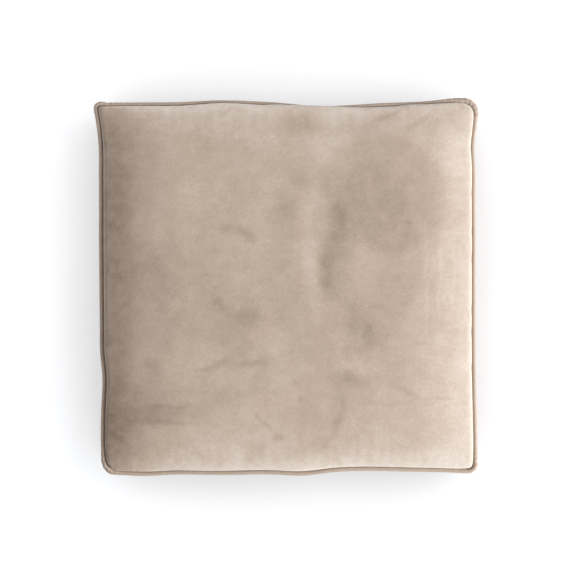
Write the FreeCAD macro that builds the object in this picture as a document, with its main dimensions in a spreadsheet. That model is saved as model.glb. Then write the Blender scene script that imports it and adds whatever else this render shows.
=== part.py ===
import FreeCAD
import Part
import Sketcher
import math
import os

# A square, box-edged floor cushion with a piped, zipped, removable cover over a foam insert.
# Frame: +Z up, origin at the middle of the resting face, zip along the rear (+Y) side.
# Every layer is set by how far it lies inside the outer face of the boxing, its "inset".

DRIVING_DIMENSIONS = [
    # The cover, at the outer face of the boxing
    ("half_width", 293.0, "middle to the boxing's outer face, along X"),
    ("half_depth", 289.0, "middle to the boxing's outer face, along Y"),
    ("corner", 15.0, "corner radius of the boxing's outer face"),
    ("base_seam", 16.0, "height of the base piping's middle"),
    ("top_seam", 126.0, "height of the top piping's middle"),
    ("full_height", 150.0, "height of the crown"),
    ("fabric", 1.4, "velvet and its backing"),
    ("allowance", 11.0, "how far a seam allowance hangs past the seam"),
    ("corner_growth", 0.85, "corner radius gained per millimetre of inset up the crown"),
    # The crown of the top panel and the roll of the base panel: inset, then share of the rise
    ("crown_in_1", 2.2, "top panel, first ring in from the seam"),
    ("crown_up_1", 0.34, ""),
    ("crown_in_2", 7.5, ""),
    ("crown_up_2", 0.58, ""),
    ("crown_in_3", 20.0, ""),
    ("crown_up_3", 0.78, ""),
    ("crown_in_4", 48.0, ""),
    ("crown_up_4", 0.93, ""),
    ("crown_in_5", 120.0, ""),
    ("crown_up_5", 1.0, ""),
    ("roll_in_1", 1.6, "base panel, first ring in from the seam"),
    ("roll_up_1", 0.42, ""),
    ("roll_in_2", 5.5, ""),
    ("roll_up_2", 0.76, ""),
    ("roll_in_3", 15.0, ""),
    ("roll_up_3", 1.0, ""),
    # The piping
    ("piping_radius", 3.5, "outside of the sleeve"),
    ("piping_bore", 2.6, "inside of the sleeve"),
    ("piping_cord", 2.5, "filler cord"),
    ("piping_flange", 1.6, "two layers of the sleeve's cloth"),
    ("flange_lap", 0.6, "how far the flange reaches into the sleeve's wall"),
    ("seam_gap", 0.1, "air between sewn allowances"),
    # The insert
    ("insert_gap", 7.0, "inset of the insert's casing at the sides"),
    ("insert_top_gap", 4.0, "below the crown of the cover"),
    ("insert_base_gap", 1.8, "above the resting face"),
    ("casing", 0.6, "non-woven casing cloth"),
    ("casing_seam", 71.0, "height where the two halves of the casing are sewn"),
    ("air", 0.3, "clearance between soft layers"),
    ("foam_inset", 19.0, "inset of the foam block's sides"),
    ("foam_corner", 12.0, "corner radius of the foam block"),
    ("foam_base", 14.0, "underside of the foam block"),
    ("foam_top", 132.0, "top of the foam block"),
    # The zip, in the rear boxing
    ("zip_height", 71.0, "height of the zip's centre line"),
    ("zip_half_run", 250.0, "middle to the vertical seams at the ends of the zip"),
    ("zip_half_gap", 5.5, "centre line to the folded edge of the boxing"),
    ("hem", 13.5, "width of the boxing's folded edge"),
    ("tape_inset", 2.9, "outer face of the tape"),
    ("tape", 0.6, "tape thickness"),
    ("tape_width", 15.2, "each tape"),
    ("half_slot", 0.8, "centre line to the inner edge of each tape and coil"),
    ("coil_width", 2.3, "each coil, across the zip"),
    ("coil_thick", 2.5, "each coil, standing on the tape"),
    ("coil_half_run", 244.0, "middle to the ends of the coils"),
    ("stop_gap", 0.4, "coil end to stop"),
    ("stop_length", 2.8, "each stop, along the zip"),
    ("coil_round", 0.9, "rounding of each coil's front edges"),
    # The slider and its pull
    ("slider_rest", -237.4, "slider's middle along X with the zip closed"),
    ("slider_length", 12.0, "along the zip"),
    ("slider_half_height", 4.9, "centre line to the slider's edge"),
    ("channel_half", 3.5, "half the width of the slider's channel"),
    ("play", 0.3, "clearance of the coils and tapes in the slider"),
    ("wing", 1.2, "thickness of each wing"),
    ("post_half", 0.6, "half the thickness of the dividing post"),
    ("post_start", 0.6, "front end of the slider to the post"),
    ("post_end", 1.6, "back of the post to the slider's middle"),
    ("casting_round", 1.9, "corner radius of the slider"),
    ("bridge_length", 7.0, "along the zip"),
    ("bridge_half_width", 1.1, "half the width of the bridge"),
    ("bridge_rise", 2.8, "top of the bridge above the wing"),
    ("bridge_eye", 1.9, "height of the eye under the bridge"),
    ("bridge_eye_length", 4.2, "length of the eye under the bridge"),
    ("bridge_sink", 0.3, "how far the bridge's feet run into the wing"),
    ("bridge_round", 1.6, "radius of the bridge's shoulders"),
    ("pull_bar", 0.65, "radius of the pull's cross bar"),
    ("pull_thick", 1.2, "thickness of the pull"),
    ("pull_length", 26.0, "hinge to the tip of the pull"),
    ("pull_half_width", 3.4, "half the width of the pull"),
    ("pull_heel", 0.6, "hinge to the near end of the pull"),
    ("pull_heel_round", 1.2, "corner radius of the near end"),
    ("pull_tip_round", 3.0, "corner radius of the tip"),
    ("arm_clearance", 0.5, "between each arm of the pull and the bridge"),
    ("bar_inset", 0.5, "side of the pull to the end of its cross bar"),
    ("window_end", 1.4, "bridge to the end of the pull's window"),
    ("slot_tip", 4.0, "tip of the pull to its slot"),
    ("slot_length", 7.0, "slot in the tab"),
    ("slot_half", 1.3, "half the width of the slot"),
    ("slot_round", 1.25, "corner radius of the slot"),
    ("punch", 3.0, "how far a cutting tool passes each face of the pull"),
    # The blank care label, inside the cover
    ("label_inset", 6.0, "outer face of the label"),
    ("label_thick", 0.4, ""),
    ("label_left", 150.0, "left edge of the label, along X"),
    ("label_width", 32.0, ""),
    ("label_base", 18.0, ""),
    ("label_height", 42.0, ""),
]

CROWN_RINGS = 5
ROLL_RINGS = 3
REACH = 700.0  # past every side of the cushion, for the regions that part a ring into strips
SMALL = 0.01  # nearer than this, two places are one
QUARTER_TURN = math.pi / 2

doc = FreeCAD.newDocument("floor_cushion")


def make_sheet():
    """The spreadsheet of driving dimensions, one alias to a row."""
    sheet = doc.addObject("Spreadsheet::Sheet", "Sizes")
    for row, (alias, number, note) in enumerate(DRIVING_DIMENSIONS, start=1):
        sheet.set(f"A{row}", alias)
        sheet.set(f"B{row}", str(number))
        sheet.set(f"C{row}", note)
        sheet.setAlias(f"B{row}", alias)
    doc.recompute()
    return sheet


def cell(alias):
    return f"Sizes.{alias}"


def worth(expression):
    """The number that an expression over the sheet comes to."""
    return float(doc.getObject("Sizes").evalExpression(expression))


def bind(thing, **expressions):
    """Ties properties of a document object to the sheet."""
    for name, expression in expressions.items():
        thing.setExpression(name.replace("__", "."), expression)
    return thing


# ---------------------------------------------------------------- sketches


def origin_plane(body, role):
    return next(f for f in body.Origin.OriginFeatures if f.Role == role)


def sketch_on(body, name, role="XY_Plane", height=None):
    """A sketch on one of the body's own origin planes, lifted along the plane's normal."""
    sketch = body.newObject("Sketcher::SketchObject", name)
    sketch.AttachmentSupport = [(origin_plane(body, role), "")]
    sketch.MapMode = "FlatFace"
    if height is not None:
        sketch.setExpression("AttachmentOffset.Base.z", height)
    return sketch


def add_rounded_square(sketch, tag, half_x, half_y, radius, split=False):
    """A rounded rectangle about the sketch's origin, sized by three expressions. A split one
    starts at the middle of its +X side."""
    gx, gy, gr = worth(half_x), worth(half_y), worth(radius)
    right, left, up, down = gx, -gx, gy, -gy
    vector = FreeCAD.Vector
    first = len(sketch.Geometry)
    side_ends = [
        ((right, down + gr), (right, up - gr)),
        ((right - gr, up), (left + gr, up)),
        ((left, up - gr), (left, down + gr)),
        ((left + gr, down), (right - gr, down)),
    ]
    if split:
        side_ends[0] = ((right, 0.0), (right, up - gr))
        side_ends.append(((right, down + gr), (right, 0.0)))
    for (x0, y0), (x1, y1) in side_ends:
        sketch.addGeometry(Part.LineSegment(vector(x0, y0, 0), vector(x1, y1, 0)), False)
    centres = [(right - gr, up - gr), (left + gr, up - gr), (left + gr, down + gr), (right - gr, down + gr)]
    first_arc = first + len(side_ends)
    for turn, (cx, cy) in enumerate(centres):
        circle = Part.Circle(vector(cx, cy, 0), vector(0, 0, 1), gr)
        start = turn * QUARTER_TURN
        sketch.addGeometry(Part.ArcOfCircle(circle, start, start + QUARTER_TURN), False)
    arcs = [first_arc + k for k in range(4)]
    sides = [first, first + 1, first + 2, first + 3]
    last_side = first + 4 if split else first
    constraints = []
    for k in range(4):
        after = sides[k + 1] if k < 3 else last_side
        constraints.append(Sketcher.Constraint("Tangent", sides[k], 2, arcs[k], 1))
        constraints.append(Sketcher.Constraint("Tangent", arcs[k], 2, after, 1))
    constraints += [
        Sketcher.Constraint("Vertical", sides[0]),
        Sketcher.Constraint("Horizontal", sides[1]),
        Sketcher.Constraint("Vertical", sides[2]),
        Sketcher.Constraint("Horizontal", sides[3]),
        Sketcher.Constraint("Equal", arcs[0], arcs[1]),
        Sketcher.Constraint("Equal", arcs[0], arcs[2]),
        Sketcher.Constraint("Symmetric", arcs[0], 3, arcs[2], 3, -1, 1),
    ]
    if split:
        constraints.append(Sketcher.Constraint("Coincident", sides[0], 1, last_side, 2))
        constraints.append(Sketcher.Constraint("PointOnObject", sides[0], 1, -1))
        constraints.append(Sketcher.Constraint("Vertical", last_side))
    for constraint in constraints:
        sketch.addConstraint(constraint)
    sized = [
        ("half_x", Sketcher.Constraint("DistanceX", -1, 1, sides[0], 2, gx), half_x),
        ("half_y", Sketcher.Constraint("DistanceY", -1, 1, sides[1], 1, gy), half_y),
        ("radius", Sketcher.Constraint("Radius", arcs[0], gr), radius),
    ]
    for name, constraint, expression in sized:
        index = sketch.addConstraint(constraint)
        sketch.renameConstraint(index, f"{tag}_{name}")
        sketch.setExpression(f"Constraints.{tag}_{name}", expression)


def inset_square(sketch, tag, inset, radius=None):
    """A rounded square that follows the boxing's outer face at an inset."""
    add_rounded_square(
        sketch,
        tag,
        f"{cell('half_width')} - ({inset})",
        f"{cell('half_depth')} - ({inset})",
        radius or f"{cell('corner')} - ({inset})",
    )


# ---------------------------------------------------------------- features


def new_body(name):
    return doc.addObject("PartDesign::Body", name)


def pad(body, sketch, name, length):
    """Pads a sketch along its plane's normal by an expression."""
    feature = body.newObject("PartDesign::Pad", name)
    feature.Profile = sketch
    feature.setExpression("Length", length)
    sketch.Visibility = False
    return feature


def ring_pad(body, name, outer, inner, low, high):
    """A closed band round the cushion, between two insets and two heights."""
    sketch = sketch_on(body, f"{name}_sketch", height=low)
    inset_square(sketch, "outer", outer)
    inset_square(sketch, "inner", inner)
    return pad(body, sketch, name, f"({high}) - ({low})")


def loft(body, name, kind, sketches):
    feature = body.newObject(f"PartDesign::{kind}", name)
    feature.Profile = sketches[0]
    feature.Sections = sketches[1:]
    feature.Ruled = True
    feature.Refine = False
    return feature


def crown_sections(body, name, seam, apex, word, rings, inset, sink):
    """Sketches of the rounded squares that a crown or a roll rises through, from the seam to the
    apex. sink is added to the rise, for a layer that lies inside the outermost one."""
    sections = []
    for k in range(rings + 1):
        share = "0" if k == 0 else cell(f"{word}_up_{k}")
        step = "0" if k == 0 else cell(f"{word}_in_{k}")
        height = f"({seam}) + ({share}) * (({apex}) - ({seam}) {sink})"
        sketch = sketch_on(body, f"{name}_{k}", height=height)
        inset_square(
            sketch,
            "ring",
            f"{inset} + {step}",
            radius=f"{cell('corner')} - ({inset}) + {cell('corner_growth')} * {step}",
        )
        sections.append(sketch)
    return sections


def box(name, x0, x1, y0, y1, z0, z1):
    """A Part box between six expressions."""
    made = doc.addObject("Part::Box", name)
    bind(
        made,
        Length=f"({x1}) - ({x0})",
        Width=f"({y1}) - ({y0})",
        Height=f"({z1}) - ({z0})",
        Placement__Base__x=x0,
        Placement__Base__y=y0,
        Placement__Base__z=z0,
    )
    return made


def boolean(kind, name, *shapes):
    """A Part boolean: Cut takes two shapes, MultiFuse and MultiCommon take several."""
    made = doc.addObject(f"Part::{kind}", name)
    if kind == "Cut":
        made.Base, made.Tool = shapes
    else:
        made.Shapes = list(shapes)
    return made


# ---------------------------------------------------------------- places that several parts share

HALF_FLANGE = f"{cell('piping_flange')} / 2"
TOP_FACE = f"{cell('top_seam')} + {HALF_FLANGE}"
TOP_UNDER = f"{cell('top_seam')} - {HALF_FLANGE}"
BASE_FACE = f"{cell('base_seam')} - {HALF_FLANGE}"
BASE_OVER = f"{cell('base_seam')} + {HALF_FLANGE}"
TOP_HANG = f"{cell('top_seam')} - {cell('allowance')}"
BASE_HANG = f"{cell('base_seam')} + {cell('allowance')}"
FABRIC = cell("fabric")
# Seen from outside, the allowances lie one behind another: boxing, piping flange, panel.
BOXING_BACK = f"2 * {FABRIC}"
FLANGE_FRONT = f"2 * {FABRIC} + {cell('seam_gap')}"
FLANGE_BACK = f"2 * {FABRIC} - {cell('seam_gap')} + {cell('piping_flange')}"
PANEL_FRONT = f"2 * {FABRIC} + {cell('piping_flange')}"
PANEL_BACK = f"3 * {FABRIC} + {cell('piping_flange')}"


# ---------------------------------------------------------------- cover


def top_panel():
    """The crowned top panel, with its allowance turned down behind the piping's flange."""
    body = new_body("top_panel")
    apex = cell("full_height")
    outer = crown_sections(body, "crown", TOP_FACE, apex, "crown", CROWN_RINGS, "0", "")
    loft(body, "crown_outside", "AdditiveLoft", outer)
    thinner = f"- {FABRIC}"
    inner = crown_sections(body, "lining", TOP_FACE, apex, "crown", CROWN_RINGS, FABRIC, thinner)
    loft(body, "crown_inside", "SubtractiveLoft", inner)
    ring_pad(body, "turned_edge", "0", PANEL_BACK, TOP_FACE, f"{TOP_FACE} + {FABRIC}")
    ring_pad(body, "hanging_edge", PANEL_FRONT, PANEL_BACK, TOP_HANG, TOP_FACE)
    return body


def base_panel():
    """The base panel, flat where it rests, with its allowance turned up inside the boxing."""
    body = new_body("base_panel")
    outer = crown_sections(body, "roll", BASE_FACE, "0", "roll", ROLL_RINGS, "0", "")
    loft(body, "roll_outside", "AdditiveLoft", outer)
    thinner = f"+ {FABRIC}"
    inner = crown_sections(body, "lining", BASE_FACE, "0", "roll", ROLL_RINGS, FABRIC, thinner)
    loft(body, "roll_inside", "SubtractiveLoft", inner)
    ring_pad(body, "turned_edge", "0", PANEL_BACK, f"{BASE_FACE} - {FABRIC}", BASE_FACE)
    ring_pad(body, "standing_edge", PANEL_FRONT, PANEL_BACK, BASE_FACE, BASE_HANG)
    return body


def boxing_ring():
    """The whole side band with its two turned allowances, before it is parted into strips."""
    body = new_body("boxing_ring")
    ring_pad(body, "wall", "0", FABRIC, BASE_OVER, TOP_UNDER)
    ring_pad(body, "top_turning", FABRIC, BOXING_BACK, TOP_HANG, TOP_UNDER)
    ring_pad(body, "base_turning", FABRIC, BOXING_BACK, BASE_OVER, BASE_HANG)
    return body


def boxing_strips():
    """Four strips meet at vertical seams: at the two front corners, and at the ends of the zip."""
    ring = boxing_ring()
    front_region = doc.addObject("Part::Box", "front_region")
    bind(front_region, Length=f"{REACH}", Width=f"{REACH}", Height=f"{REACH}")
    to_front_corners = -135
    turned = FreeCAD.Rotation(FreeCAD.Vector(0, 0, 1), to_front_corners)
    front_region.Placement = FreeCAD.Placement(FreeCAD.Vector(0, 0, 0), turned)
    bind(front_region, Placement__Base__y=f"{cell('half_width')} - {cell('half_depth')}")
    run = cell("zip_half_run")
    zip_region = box("zip_region", f"-{run}", run, "0", f"{REACH}", "0", f"{REACH}")
    left_half = box("left_half", f"-{REACH}", "0", f"-{REACH}", f"{REACH}", "0", f"{REACH}")
    right_half = box("right_half", "0", f"{REACH}", f"-{REACH}", f"{REACH}", "0", f"{REACH}")
    front = boolean("MultiCommon", "front_boxing", ring, front_region)
    taken = boolean("MultiFuse", "front_and_zip_regions", front_region, zip_region)
    sides = boolean("Cut", "side_strips", ring, taken)
    left = boolean("MultiCommon", "left_boxing", sides, left_half)
    right = boolean("MultiCommon", "right_boxing", sides, right_half)
    rear = boolean("MultiCommon", "rear_strip", ring, zip_region)
    return [front, left, right, *zip_strips(rear)]


def zip_strips(rear):
    """The rear strip's two halves, each folded back on itself along the zip."""
    run, middle, gap = cell("zip_half_run"), cell("zip_height"), cell("zip_half_gap")
    back = f"{cell('half_depth')} - {BOXING_BACK}"
    front = f"{cell('half_depth')} - {FABRIC}"
    strips = []
    for side, sign in (("upper", "+"), ("lower", "-")):
        edge = f"{middle} {sign} {gap}"
        fold = f"{middle} {sign} ({gap} + {cell('hem')})"
        low, high = (edge, f"{REACH}") if side == "upper" else ("0", edge)
        half = box(f"{side}_region", f"-{run}", run, "0", f"{REACH}", low, high)
        wall = boolean("MultiCommon", f"{side}_wall", rear, half)
        hem_low, hem_high = (edge, fold) if side == "upper" else (fold, edge)
        hem = box(f"{side}_hem", f"-{run}", run, back, front, hem_low, hem_high)
        strips.append(boolean("MultiFuse", f"zip_boxing_{side}", wall, hem))
    return strips


# ---------------------------------------------------------------- piping


def pipe(body, name, kind, seam, radius):
    """A round bar swept round the cushion at a seam, just outside the boxing."""
    outward = cell("piping_radius")
    path = sketch_on(body, f"{name}_path", height=seam)
    add_rounded_square(
        path,
        "path",
        f"{cell('half_width')} + {outward}",
        f"{cell('half_depth')} + {outward}",
        f"{cell('corner')} + {outward}",
        split=True,
    )
    section = sketch_on(body, f"{name}_section", "XZ_Plane")
    out = f"{cell('half_width')} + {outward}"
    place = FreeCAD.Vector(worth(out), worth(seam), 0)
    round_size = worth(radius)
    circle = section.addGeometry(Part.Circle(place, FreeCAD.Vector(0, 0, 1), round_size), False)
    sized = [
        ("out", Sketcher.Constraint("DistanceX", -1, 1, circle, 3, place.x), out),
        ("up", Sketcher.Constraint("DistanceY", -1, 1, circle, 3, place.y), seam),
        ("radius", Sketcher.Constraint("Radius", circle, round_size), radius),
    ]
    for tag, constraint, expression in sized:
        index = section.addConstraint(constraint)
        section.renameConstraint(index, tag)
        section.setExpression(f"Constraints.{tag}", expression)
    feature = body.newObject(f"PartDesign::{kind}", name)
    feature.Profile = section
    feature.Spine = path
    return feature


def piping(level, seam, hang, inward):
    """One run of piping: a bias-cut sleeve with its sewn flange, and the filler cord in it."""
    sleeve = new_body(f"{level}_piping_sleeve")
    pipe(sleeve, "tube", "AdditivePipe", seam, cell("piping_radius"))
    low, high = f"{seam} - {HALF_FLANGE}", f"{seam} + {HALF_FLANGE}"
    ring_pad(sleeve, "flange", f"-{cell('flange_lap')}", FLANGE_BACK, low, high)
    edges = (hang, low) if inward == "down" else (high, hang)
    ring_pad(sleeve, "flange_edge", FLANGE_FRONT, FLANGE_BACK, *edges)
    pipe(sleeve, "bore", "SubtractivePipe", seam, cell("piping_bore"))
    cord = new_body(f"{level}_piping_cord")
    pipe(cord, "cord", "AdditivePipe", seam, cell("piping_cord"))
    return [sleeve, cord]


# ---------------------------------------------------------------- insert


def pillow(name, inset, top_sink, base_rise):
    """The insert's outside at an inset: straight sides, the crown above and the roll below."""
    body = new_body(name)
    straight = sketch_on(body, "sides_sketch", height=BASE_FACE)
    inset_square(straight, "side", inset)
    pad(body, straight, "sides", f"{TOP_FACE} - ({BASE_FACE})")
    apex, sink, rise = cell("full_height"), f"- ({top_sink})", f"+ ({base_rise})"
    crown = crown_sections(body, "crown", TOP_FACE, apex, "crown", CROWN_RINGS, inset, sink)
    loft(body, "crown_loft", "AdditiveLoft", crown)
    roll = crown_sections(body, "roll", BASE_FACE, "0", "roll", ROLL_RINGS, inset, rise)
    loft(body, "roll_loft", "AdditiveLoft", roll)
    return body


def insert():
    """The sewn casing in two halves, fibre wadding above, below and round the sides, and foam."""
    side, top_sink, base_rise = cell("insert_gap"), cell("insert_top_gap"), cell("insert_base_gap")
    casing, air = cell("casing"), cell("air")
    layers = []
    for name, extra in (("casing_outside", "0"), ("casing_inside", casing),
                        ("filling_outside", f"{casing} + {air}")):
        layers.append(
            pillow(name, f"{side} + {extra}", f"{top_sink} + {extra}", f"{base_rise} + {extra}")
        )
    outside, inside, filled = layers
    shell = boolean("Cut", "casing_shell", outside, inside)
    seam = cell("casing_seam")
    above = box("above_seam", f"-{REACH}", f"{REACH}", f"-{REACH}", f"{REACH}", seam, f"{REACH}")
    below = box("below_seam", f"-{REACH}", f"{REACH}", f"-{REACH}", f"{REACH}", f"-{REACH}", seam)
    upper = boolean("MultiCommon", "insert_casing_upper", shell, above)
    lower = boolean("MultiCommon", "insert_casing_lower", shell, below)

    foam_low, foam_high = cell("foam_base"), cell("foam_top")
    foam = foam_block("insert_foam_core", "0")
    hollow = foam_block("foam_room", f"-{air}")
    wide = [f"-{REACH}", f"{REACH}", f"-{REACH}", f"{REACH}"]
    over_foam = box("over_foam", *wide, foam_high, f"{REACH}")
    under_foam = box("under_foam", *wide, f"-{REACH}", foam_low)
    beside_foam = box("beside_foam", *wide, foam_low, foam_high)
    wadding_top = boolean("MultiCommon", "insert_wadding_top", filled, over_foam)
    wadding_base = boolean("MultiCommon", "insert_wadding_base", filled, under_foam)
    around = boolean("MultiCommon", "wadding_around", filled, beside_foam)
    wadding_band = boolean("Cut", "insert_wadding_band", around, hollow)
    return [upper, lower, wadding_top, wadding_base, wadding_band, foam]


def foam_block(name, growth):
    """A square-edged block with rounded upright corners, or the room that it fills."""
    body = new_body(name)
    sketch = sketch_on(body, f"{name}_sketch", height=cell("foam_base"))
    inset_square(
        sketch,
        "block",
        f"{cell('foam_inset')} + ({growth})",
        radius=f"{cell('foam_corner')} - ({growth})",
    )
    pad(body, sketch, f"{name}_pad", f"{cell('foam_top')} - {cell('foam_base')}")
    return body


# ---------------------------------------------------------------- zip

TAPE_FRONT = f"{cell('half_depth')} - {cell('tape_inset')}"
TAPE_BACK = f"{TAPE_FRONT} - {cell('tape')}"
COIL_FRONT = f"{TAPE_FRONT} + {cell('coil_thick')}"
ZIP_TOP_Y = f"{COIL_FRONT} + {cell('play')}"
ZIP_BACK_Y = f"{TAPE_BACK} - {cell('play')}"


def zip_chain():
    """Each tape and its coil. A slot down the middle leaves room for the slider's post."""
    run, middle, slot = cell("zip_half_run"), cell("zip_height"), cell("half_slot")
    coil_run = cell("coil_half_run")
    made = []
    for side, sign in (("upper", "+"), ("lower", "-")):
        near = f"{middle} {sign} {slot}"
        tape_far = f"{middle} {sign} ({slot} + {cell('tape_width')})"
        coil_far = f"{middle} {sign} ({slot} + {cell('coil_width')})"
        tape_span = (near, tape_far) if side == "upper" else (tape_far, near)
        coil_span = (near, coil_far) if side == "upper" else (coil_far, near)
        made.append(box(f"zip_tape_{side}", f"-{run}", run, TAPE_BACK, TAPE_FRONT, *tape_span))
        bar = box(
            f"coil_bar_{side}", f"-{coil_run}", coil_run, TAPE_FRONT, COIL_FRONT, *coil_span
        )
        made.append(rounded_bar(f"zip_coil_{side}", bar))
    return made


def rounded_bar(name, bar):
    """The bar with its two long front edges rounded, as a coil's envelope is."""
    doc.recompute()
    rounded = doc.addObject("Part::Fillet", name)
    rounded.Base = bar
    front, size = worth(COIL_FRONT), worth(cell("coil_round"))
    rounded.Edges = [
        (index, size, size)
        for index, edge in enumerate(bar.Shape.Edges, start=1)
        if edge.BoundBox.XLength > SMALL and abs(edge.BoundBox.YMin - front) < SMALL
    ]
    return rounded


def zip_stops():
    """Two crimped top stops, one on each tape, and one bottom stop across both."""
    gap, length = cell("stop_gap"), cell("stop_length")
    coil_run, middle = cell("coil_half_run"), cell("zip_height")
    near, far = cell("half_slot"), f"{cell('half_slot')} + {cell('coil_width')}"
    top_span = (f"-({coil_run} + {gap} + {length})", f"-({coil_run} + {gap})")
    upper = box(
        "upper_top_stop", *top_span, TAPE_FRONT, COIL_FRONT, f"{middle} + {near}", f"{middle} + {far}"
    )
    lower = box(
        "lower_top_stop", *top_span, TAPE_FRONT, COIL_FRONT,
        f"{middle} - ({far})", f"{middle} - {near}",
    )
    top = doc.addObject("Part::Compound", "zip_top_stops")
    top.Links = [upper, lower]
    bottom = box(
        "zip_bottom_stop", f"{coil_run} + {gap}", f"{coil_run} + {gap} + {length}",
        TAPE_FRONT, COIL_FRONT, f"{middle} - ({far})", f"{middle} + {far}",
    )
    return [top, bottom]


def slider_body():
    """The die-cast slider: two wings joined by a post, lips round the coils, and a bridge."""
    x_mid, middle = cell("slider_rest"), cell("zip_height")
    half = f"{cell('slider_length')} / 2"
    edge, channel, wing = cell("slider_half_height"), cell("channel_half"), cell("wing")
    x_span = (f"{x_mid} - {half}", f"{x_mid} + {half}")
    z_span = (f"{middle} - {edge}", f"{middle} + {edge}")
    top_wing = box("top_wing", *x_span, ZIP_TOP_Y, f"{ZIP_TOP_Y} + {wing}", *z_span)
    back_wing = box("back_wing", *x_span, f"{ZIP_BACK_Y} - {wing}", ZIP_BACK_Y, *z_span)
    lips = []
    for side, sign in (("upper", "+"), ("lower", "-")):
        inner, outer = f"{middle} {sign} {channel}", f"{middle} {sign} {edge}"
        span = (inner, outer) if side == "upper" else (outer, inner)
        lips.append(box(f"{side}_lip", *x_span, f"{TAPE_FRONT} + {cell('play')}", ZIP_TOP_Y, *span))
    post = box(
        "post",
        f"{x_mid} - {half} + {cell('post_start')}",
        f"{x_mid} - {cell('post_end')}",
        ZIP_BACK_Y,
        ZIP_TOP_Y,
        f"{middle} - {cell('post_half')}",
        f"{middle} + {cell('post_half')}",
    )
    cast = boolean("MultiFuse", "slider_casting", top_wing, back_wing, *lips, post)
    doc.recompute()
    rounded = doc.addObject("Part::Fillet", "rounded_casting")
    rounded.Base = cast
    rounded.Edges = corner_edges(cast, worth(cell("casting_round")))
    bridge = slider_bridge(x_mid, middle)
    return boolean("MultiFuse", "zip_slider_body", rounded, bridge)


def corner_edges(solid, radius):
    """The edges along Y at the casting's four outer corners, with a fillet radius for each."""
    box_of = solid.Shape.BoundBox
    found = []
    for index, edge in enumerate(solid.Shape.Edges, start=1):
        span = edge.BoundBox
        upright = span.YLength > SMALL and span.XLength < SMALL and span.ZLength < SMALL
        at_x = min(abs(span.XMin - box_of.XMin), abs(span.XMax - box_of.XMax)) < SMALL
        at_z = min(abs(span.ZMin - box_of.ZMin), abs(span.ZMax - box_of.ZMax)) < SMALL
        if upright and at_x and at_z:
            found.append((index, radius, radius))
    return found


def slider_bridge(x_mid, middle):
    """The arch on the top wing that holds the pull's cross bar."""
    foot = f"{ZIP_TOP_Y} + {cell('wing')}"
    half, wide = f"{cell('bridge_length')} / 2", cell("bridge_half_width")
    eye = f"{cell('bridge_eye_length')} / 2"
    block = box(
        "bridge_block", f"{x_mid} - {half}", f"{x_mid} + {half}",
        f"{foot} - {cell('bridge_sink')}", f"{foot} + {cell('bridge_rise')}",
        f"{middle} - {wide}", f"{middle} + {wide}",
    )
    doc.recompute()
    arched = doc.addObject("Part::Fillet", "bridge_arch")
    arched.Base = block
    top, size = block.Shape.BoundBox.YMax, worth(cell("bridge_round"))
    arched.Edges = [
        (index, size, size)
        for index, edge in enumerate(block.Shape.Edges, start=1)
        if edge.BoundBox.ZLength > SMALL and abs(edge.BoundBox.YMin - top) < SMALL
    ]
    gap = box(
        "bridge_gap", f"{x_mid} - {eye}", f"{x_mid} + {eye}", foot, f"{foot} + {cell('bridge_eye')}",
        f"{middle} - 2 * {wide}", f"{middle} + 2 * {wide}",
    )
    return boolean("Cut", "slider_bridge", arched, gap)


def upright_edges(solid):
    """A box's four edges along Y, each with its index."""
    edges = enumerate(solid.Shape.Edges, start=1)
    return [(index, edge) for index, edge in edges if edge.BoundBox.YLength > SMALL]


def pull_tab():
    """The pull: a cross bar under the bridge, two arms beside it, and a tab with a slot."""
    x_mid, middle = cell("slider_rest"), cell("zip_height")
    axis_y = f"{ZIP_TOP_Y} + {cell('wing')} + {cell('bridge_eye')} / 2"
    half_thick, wide = f"{cell('pull_thick')} / 2", cell("pull_half_width")
    y_span = (f"{axis_y} - {half_thick}", f"{axis_y} + {half_thick}")
    z_span = (f"{middle} - {wide}", f"{middle} + {wide}")
    bar = doc.addObject("Part::Cylinder", "pull_cross_bar")
    bind(
        bar,
        Radius=cell("pull_bar"),
        Height=f"2 * ({wide} - {cell('bar_inset')})",
        Placement__Base__x=x_mid,
        Placement__Base__y=axis_y,
        Placement__Base__z=f"{middle} - {wide} + {cell('bar_inset')}",
    )
    tip = f"{x_mid} + {cell('pull_length')}"
    through = (f"{axis_y} - {cell('punch')}", f"{axis_y} + {cell('punch')}")
    plate = box("pull_plate", f"{x_mid} - {cell('pull_heel')}", tip, *y_span, *z_span)
    eye_half = f"({cell('bridge_half_width')} + {cell('arm_clearance')})"
    window = box(
        "pull_window",
        f"{x_mid} - {cell('punch')}",
        f"{x_mid} + {cell('bridge_length')} / 2 + {cell('window_end')}",
        *through,
        f"{middle} - {eye_half}",
        f"{middle} + {eye_half}",
    )
    slot_end = f"{tip} - {cell('slot_tip')}"
    slot = box(
        "pull_slot",
        f"{slot_end} - {cell('slot_length')}",
        slot_end,
        *through,
        f"{middle} - {cell('slot_half')}",
        f"{middle} + {cell('slot_half')}",
    )
    doc.recompute()
    tip_round, heel_round = worth(cell("pull_tip_round")), worth(cell("pull_heel_round"))
    slot_radius = worth(cell("slot_round"))
    rounded = doc.addObject("Part::Fillet", "pull_outline")
    rounded.Base = plate
    far = plate.Shape.BoundBox.XMax
    outline = []
    for index, edge in upright_edges(plate):
        size = tip_round if abs(edge.BoundBox.XMin - far) < SMALL else heel_round
        outline.append((index, size, size))
    rounded.Edges = outline
    slot_round = doc.addObject("Part::Fillet", "pull_slot_round")
    slot_round.Base = slot
    slot_round.Edges = [(index, slot_radius, slot_radius) for index, edge in upright_edges(slot)]
    holes = boolean("MultiFuse", "pull_holes", window, slot_round)
    cut = boolean("Cut", "pull_with_holes", rounded, holes)
    return boolean("MultiFuse", "zip_pull_tab", cut, bar)


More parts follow.
